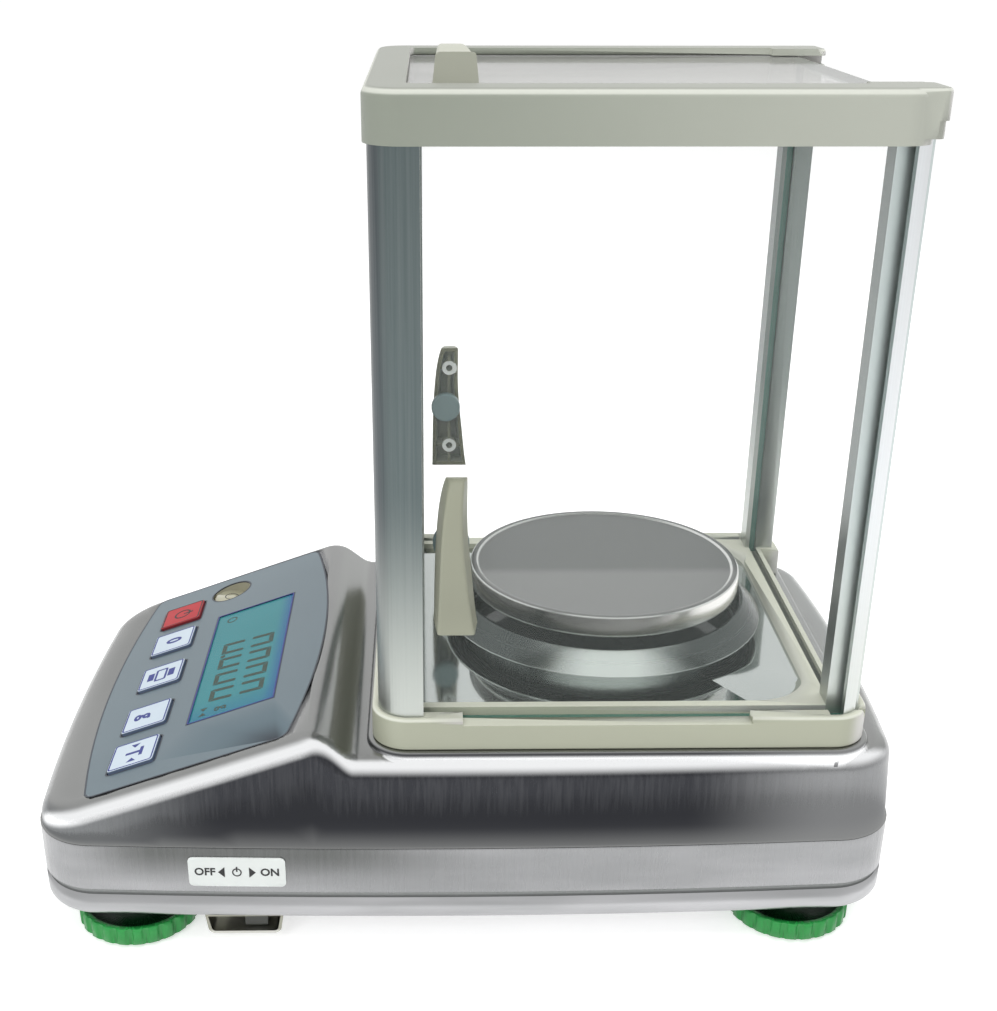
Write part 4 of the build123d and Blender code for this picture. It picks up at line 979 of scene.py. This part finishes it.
DRESS = {
    "housing": ("upper_housing",),
    "tray": ("bottom_tray",),
    "guard": ("switch_guard",),
    "gasket": ("seam_gasket",),
    "label": ("switch_plate",),
    "film": ("keypad_overlay",),
    "base_frame": ("base_frame",),
    "top_frame": ("top_frame",),
    "mirror": ("mirror_plate",),
    "handle": ("lid_handle", "door_handle_right", "door_handle_left"),
    "disc": ("door_disc_right", "door_disc_left"),
    "front_column": ("column_front_right", "column_front_left"),
    "rear_column": ("column_back_right", "column_back_left"),
    "cover": ("column_cover_right", "column_cover_left"),
    "khaki": ("level_cup",),
    "liquid": ("level_vial",),
    "key_red": KEYS[:1],
    "key_white": KEYS[1:],
    "green": tuple("foot_wheel_" + foot for foot in FEET),
    "rubber": tuple("foot_pad_" + foot for foot in FEET),
    "shaded": tuple("foot_stud_" + foot for foot in FEET) + ("pan_support",),
    "plated": ("data_socket",),
    "grey": ("switch_lever",),
    "dark": ("power_switch", "supply_inlet"),
    "machined": ("load_cell", "cell_base", "pan_bracket"),
    "brass": ("board_standoffs", "overload_stop"),
}
KEEP = {
    "side_glass": ("door_glass_right", "door_glass_left"),
    "end_glass": ("front_glass", "rear_glass"),
    "lid_glass": ("lid_glass",),
    "window": ("display_window",),
    "board": ("keypad_board", "main_board"),
    "dark": ("display_module",),
}

for finish, nodes in DRESS.items():
    for node in nodes:
        dressed_copy(node, finish, 24 if finish in ("housing", "tray", "handle", "guard") else 30)
for finish, nodes in KEEP.items():
    for node in nodes:
        give_finish(node, finish)

make_pan()
make_ring()
make_display()
make_film_border()
make_key_print()
make_switch_print()
make_level_marks()
make_stud_threads()
make_tray_screws()


def make_world():
    """A pale room: white behind the object and in its reflections, dimmer as light."""
    world = bpy.data.worlds.new("studio")
    bpy.context.scene.world = world
    world.use_nodes = True
    nodes, links = world.node_tree.nodes, world.node_tree.links
    back = nodes["Background"]
    path = nodes.new("ShaderNodeLightPath")
    total = None
    for output in ("Is Camera Ray", "Is Glossy Ray", "Is Transmission Ray"):
        if total is None:
            total = path.outputs[output]
            continue
        add = nodes.new("ShaderNodeMath")
        add.operation = "MAXIMUM"
        links.new(total, add.inputs[0])
        links.new(path.outputs[output], add.inputs[1])
        total = add.outputs[0]
    strength = nodes.new("ShaderNodeMapRange")
    strength.inputs["To Min"].default_value = 0.55
    strength.inputs["To Max"].default_value = 1.0
    links.new(total, strength.inputs["Value"])
    links.new(strength.outputs["Result"], back.inputs["Strength"])
    back.inputs["Color"].default_value = (1, 1, 1, 1)


def make_floor():
    """A pale floor that keeps the object's soft shadow."""
    floor = bmesh.new()
    bmesh.ops.create_grid(floor, x_segments=1, y_segments=1, size=14)
    mesh = bpy.data.meshes.new("floor")
    floor.to_mesh(mesh)
    floor.free()
    piece = bpy.data.objects.new("floor", mesh)
    piece.location.z = cad_box[0][2] - 0.0002
    bpy.context.scene.collection.objects.link(piece)
    f = Finish("pale_floor", roughness=0.9)
    f.set("Base Color", (0.80, 0.80, 0.80))
    path = f.add("ShaderNodeLightPath", {}).socket.node
    seen = Value(f, path.outputs["Is Camera Ray"]).math("MAXIMUM", Value(f, path.outputs["Is Glossy Ray"]))
    seen = seen.math("MAXIMUM", Value(f, path.outputs["Is Transmission Ray"]))
    f.set("Emission Color", (1, 1, 1))
    f.set("Emission Strength", seen * 0.58)
    f.set("Specular IOR Level", 0.0)
    mesh.materials.append(f.material)


def lamp(name, place, target, size, power):
    """A soft square lamp aimed at a point."""
    light = bpy.data.lights.new(name, "AREA")
    light.size = size
    light.energy = power
    holder = bpy.data.objects.new(name, light)
    holder.location = place
    aim = Vector(target) - Vector(place)
    holder.rotation_euler = aim.to_track_quat("-Z", "Y").to_euler()
    bpy.context.scene.collection.objects.link(holder)
    holder.visible_camera = False
    holder.visible_glossy = False


def make_camera():
    """The photograph's viewpoint, fitted to the object's edges, with its lens and shift."""
    width, height = 997, 1011
    focal, centre_x, centre_y = 1428.1, 449.96, 588.03
    yaw, pitch, roll = radians(0.887), radians(24.781), radians(0.105)
    ahead = Vector((-cos(yaw) * cos(pitch), sin(yaw) * cos(pitch), -sin(pitch)))
    right = Vector((sin(yaw), cos(yaw), 0))
    up = right.cross(ahead)
    level_right = right * cos(roll) + up * sin(roll)
    level_up = up * cos(roll) - right * sin(roll)
    camera = bpy.data.cameras.new("camera")
    camera.sensor_fit = "VERTICAL"
    camera.sensor_height = 36
    camera.lens = focal * 36 / height
    camera.shift_x = (width / 2 - centre_x) / height
    camera.shift_y = (centre_y - height / 2) / height
    camera.clip_start = 0.01
    camera.clip_end = 60
    holder = bpy.data.objects.new("camera", camera)
    turn = Matrix((level_right, level_up, -ahead)).transposed().to_4x4()
    holder.matrix_world = Matrix.Translation((0.56386, -0.01383, 0.37366)) @ turn
    bpy.context.scene.collection.objects.link(holder)
    bpy.context.scene.camera = holder


bpy.context.scene.view_settings.view_transform = "Standard"
make_world()
make_floor()
lamp("top_lamp", (0.15, 0.0, 1.3), (0, 0, 0.1), 1.2, 9.0)
lamp("right_lamp", (1.1, -0.5, 0.9), (0, 0, 0.1), 0.6, 6.0)
lamp("back_lamp", (-0.7, 0.9, 0.9), (0, 0, 0.15), 0.8, 5.0)
make_camera()
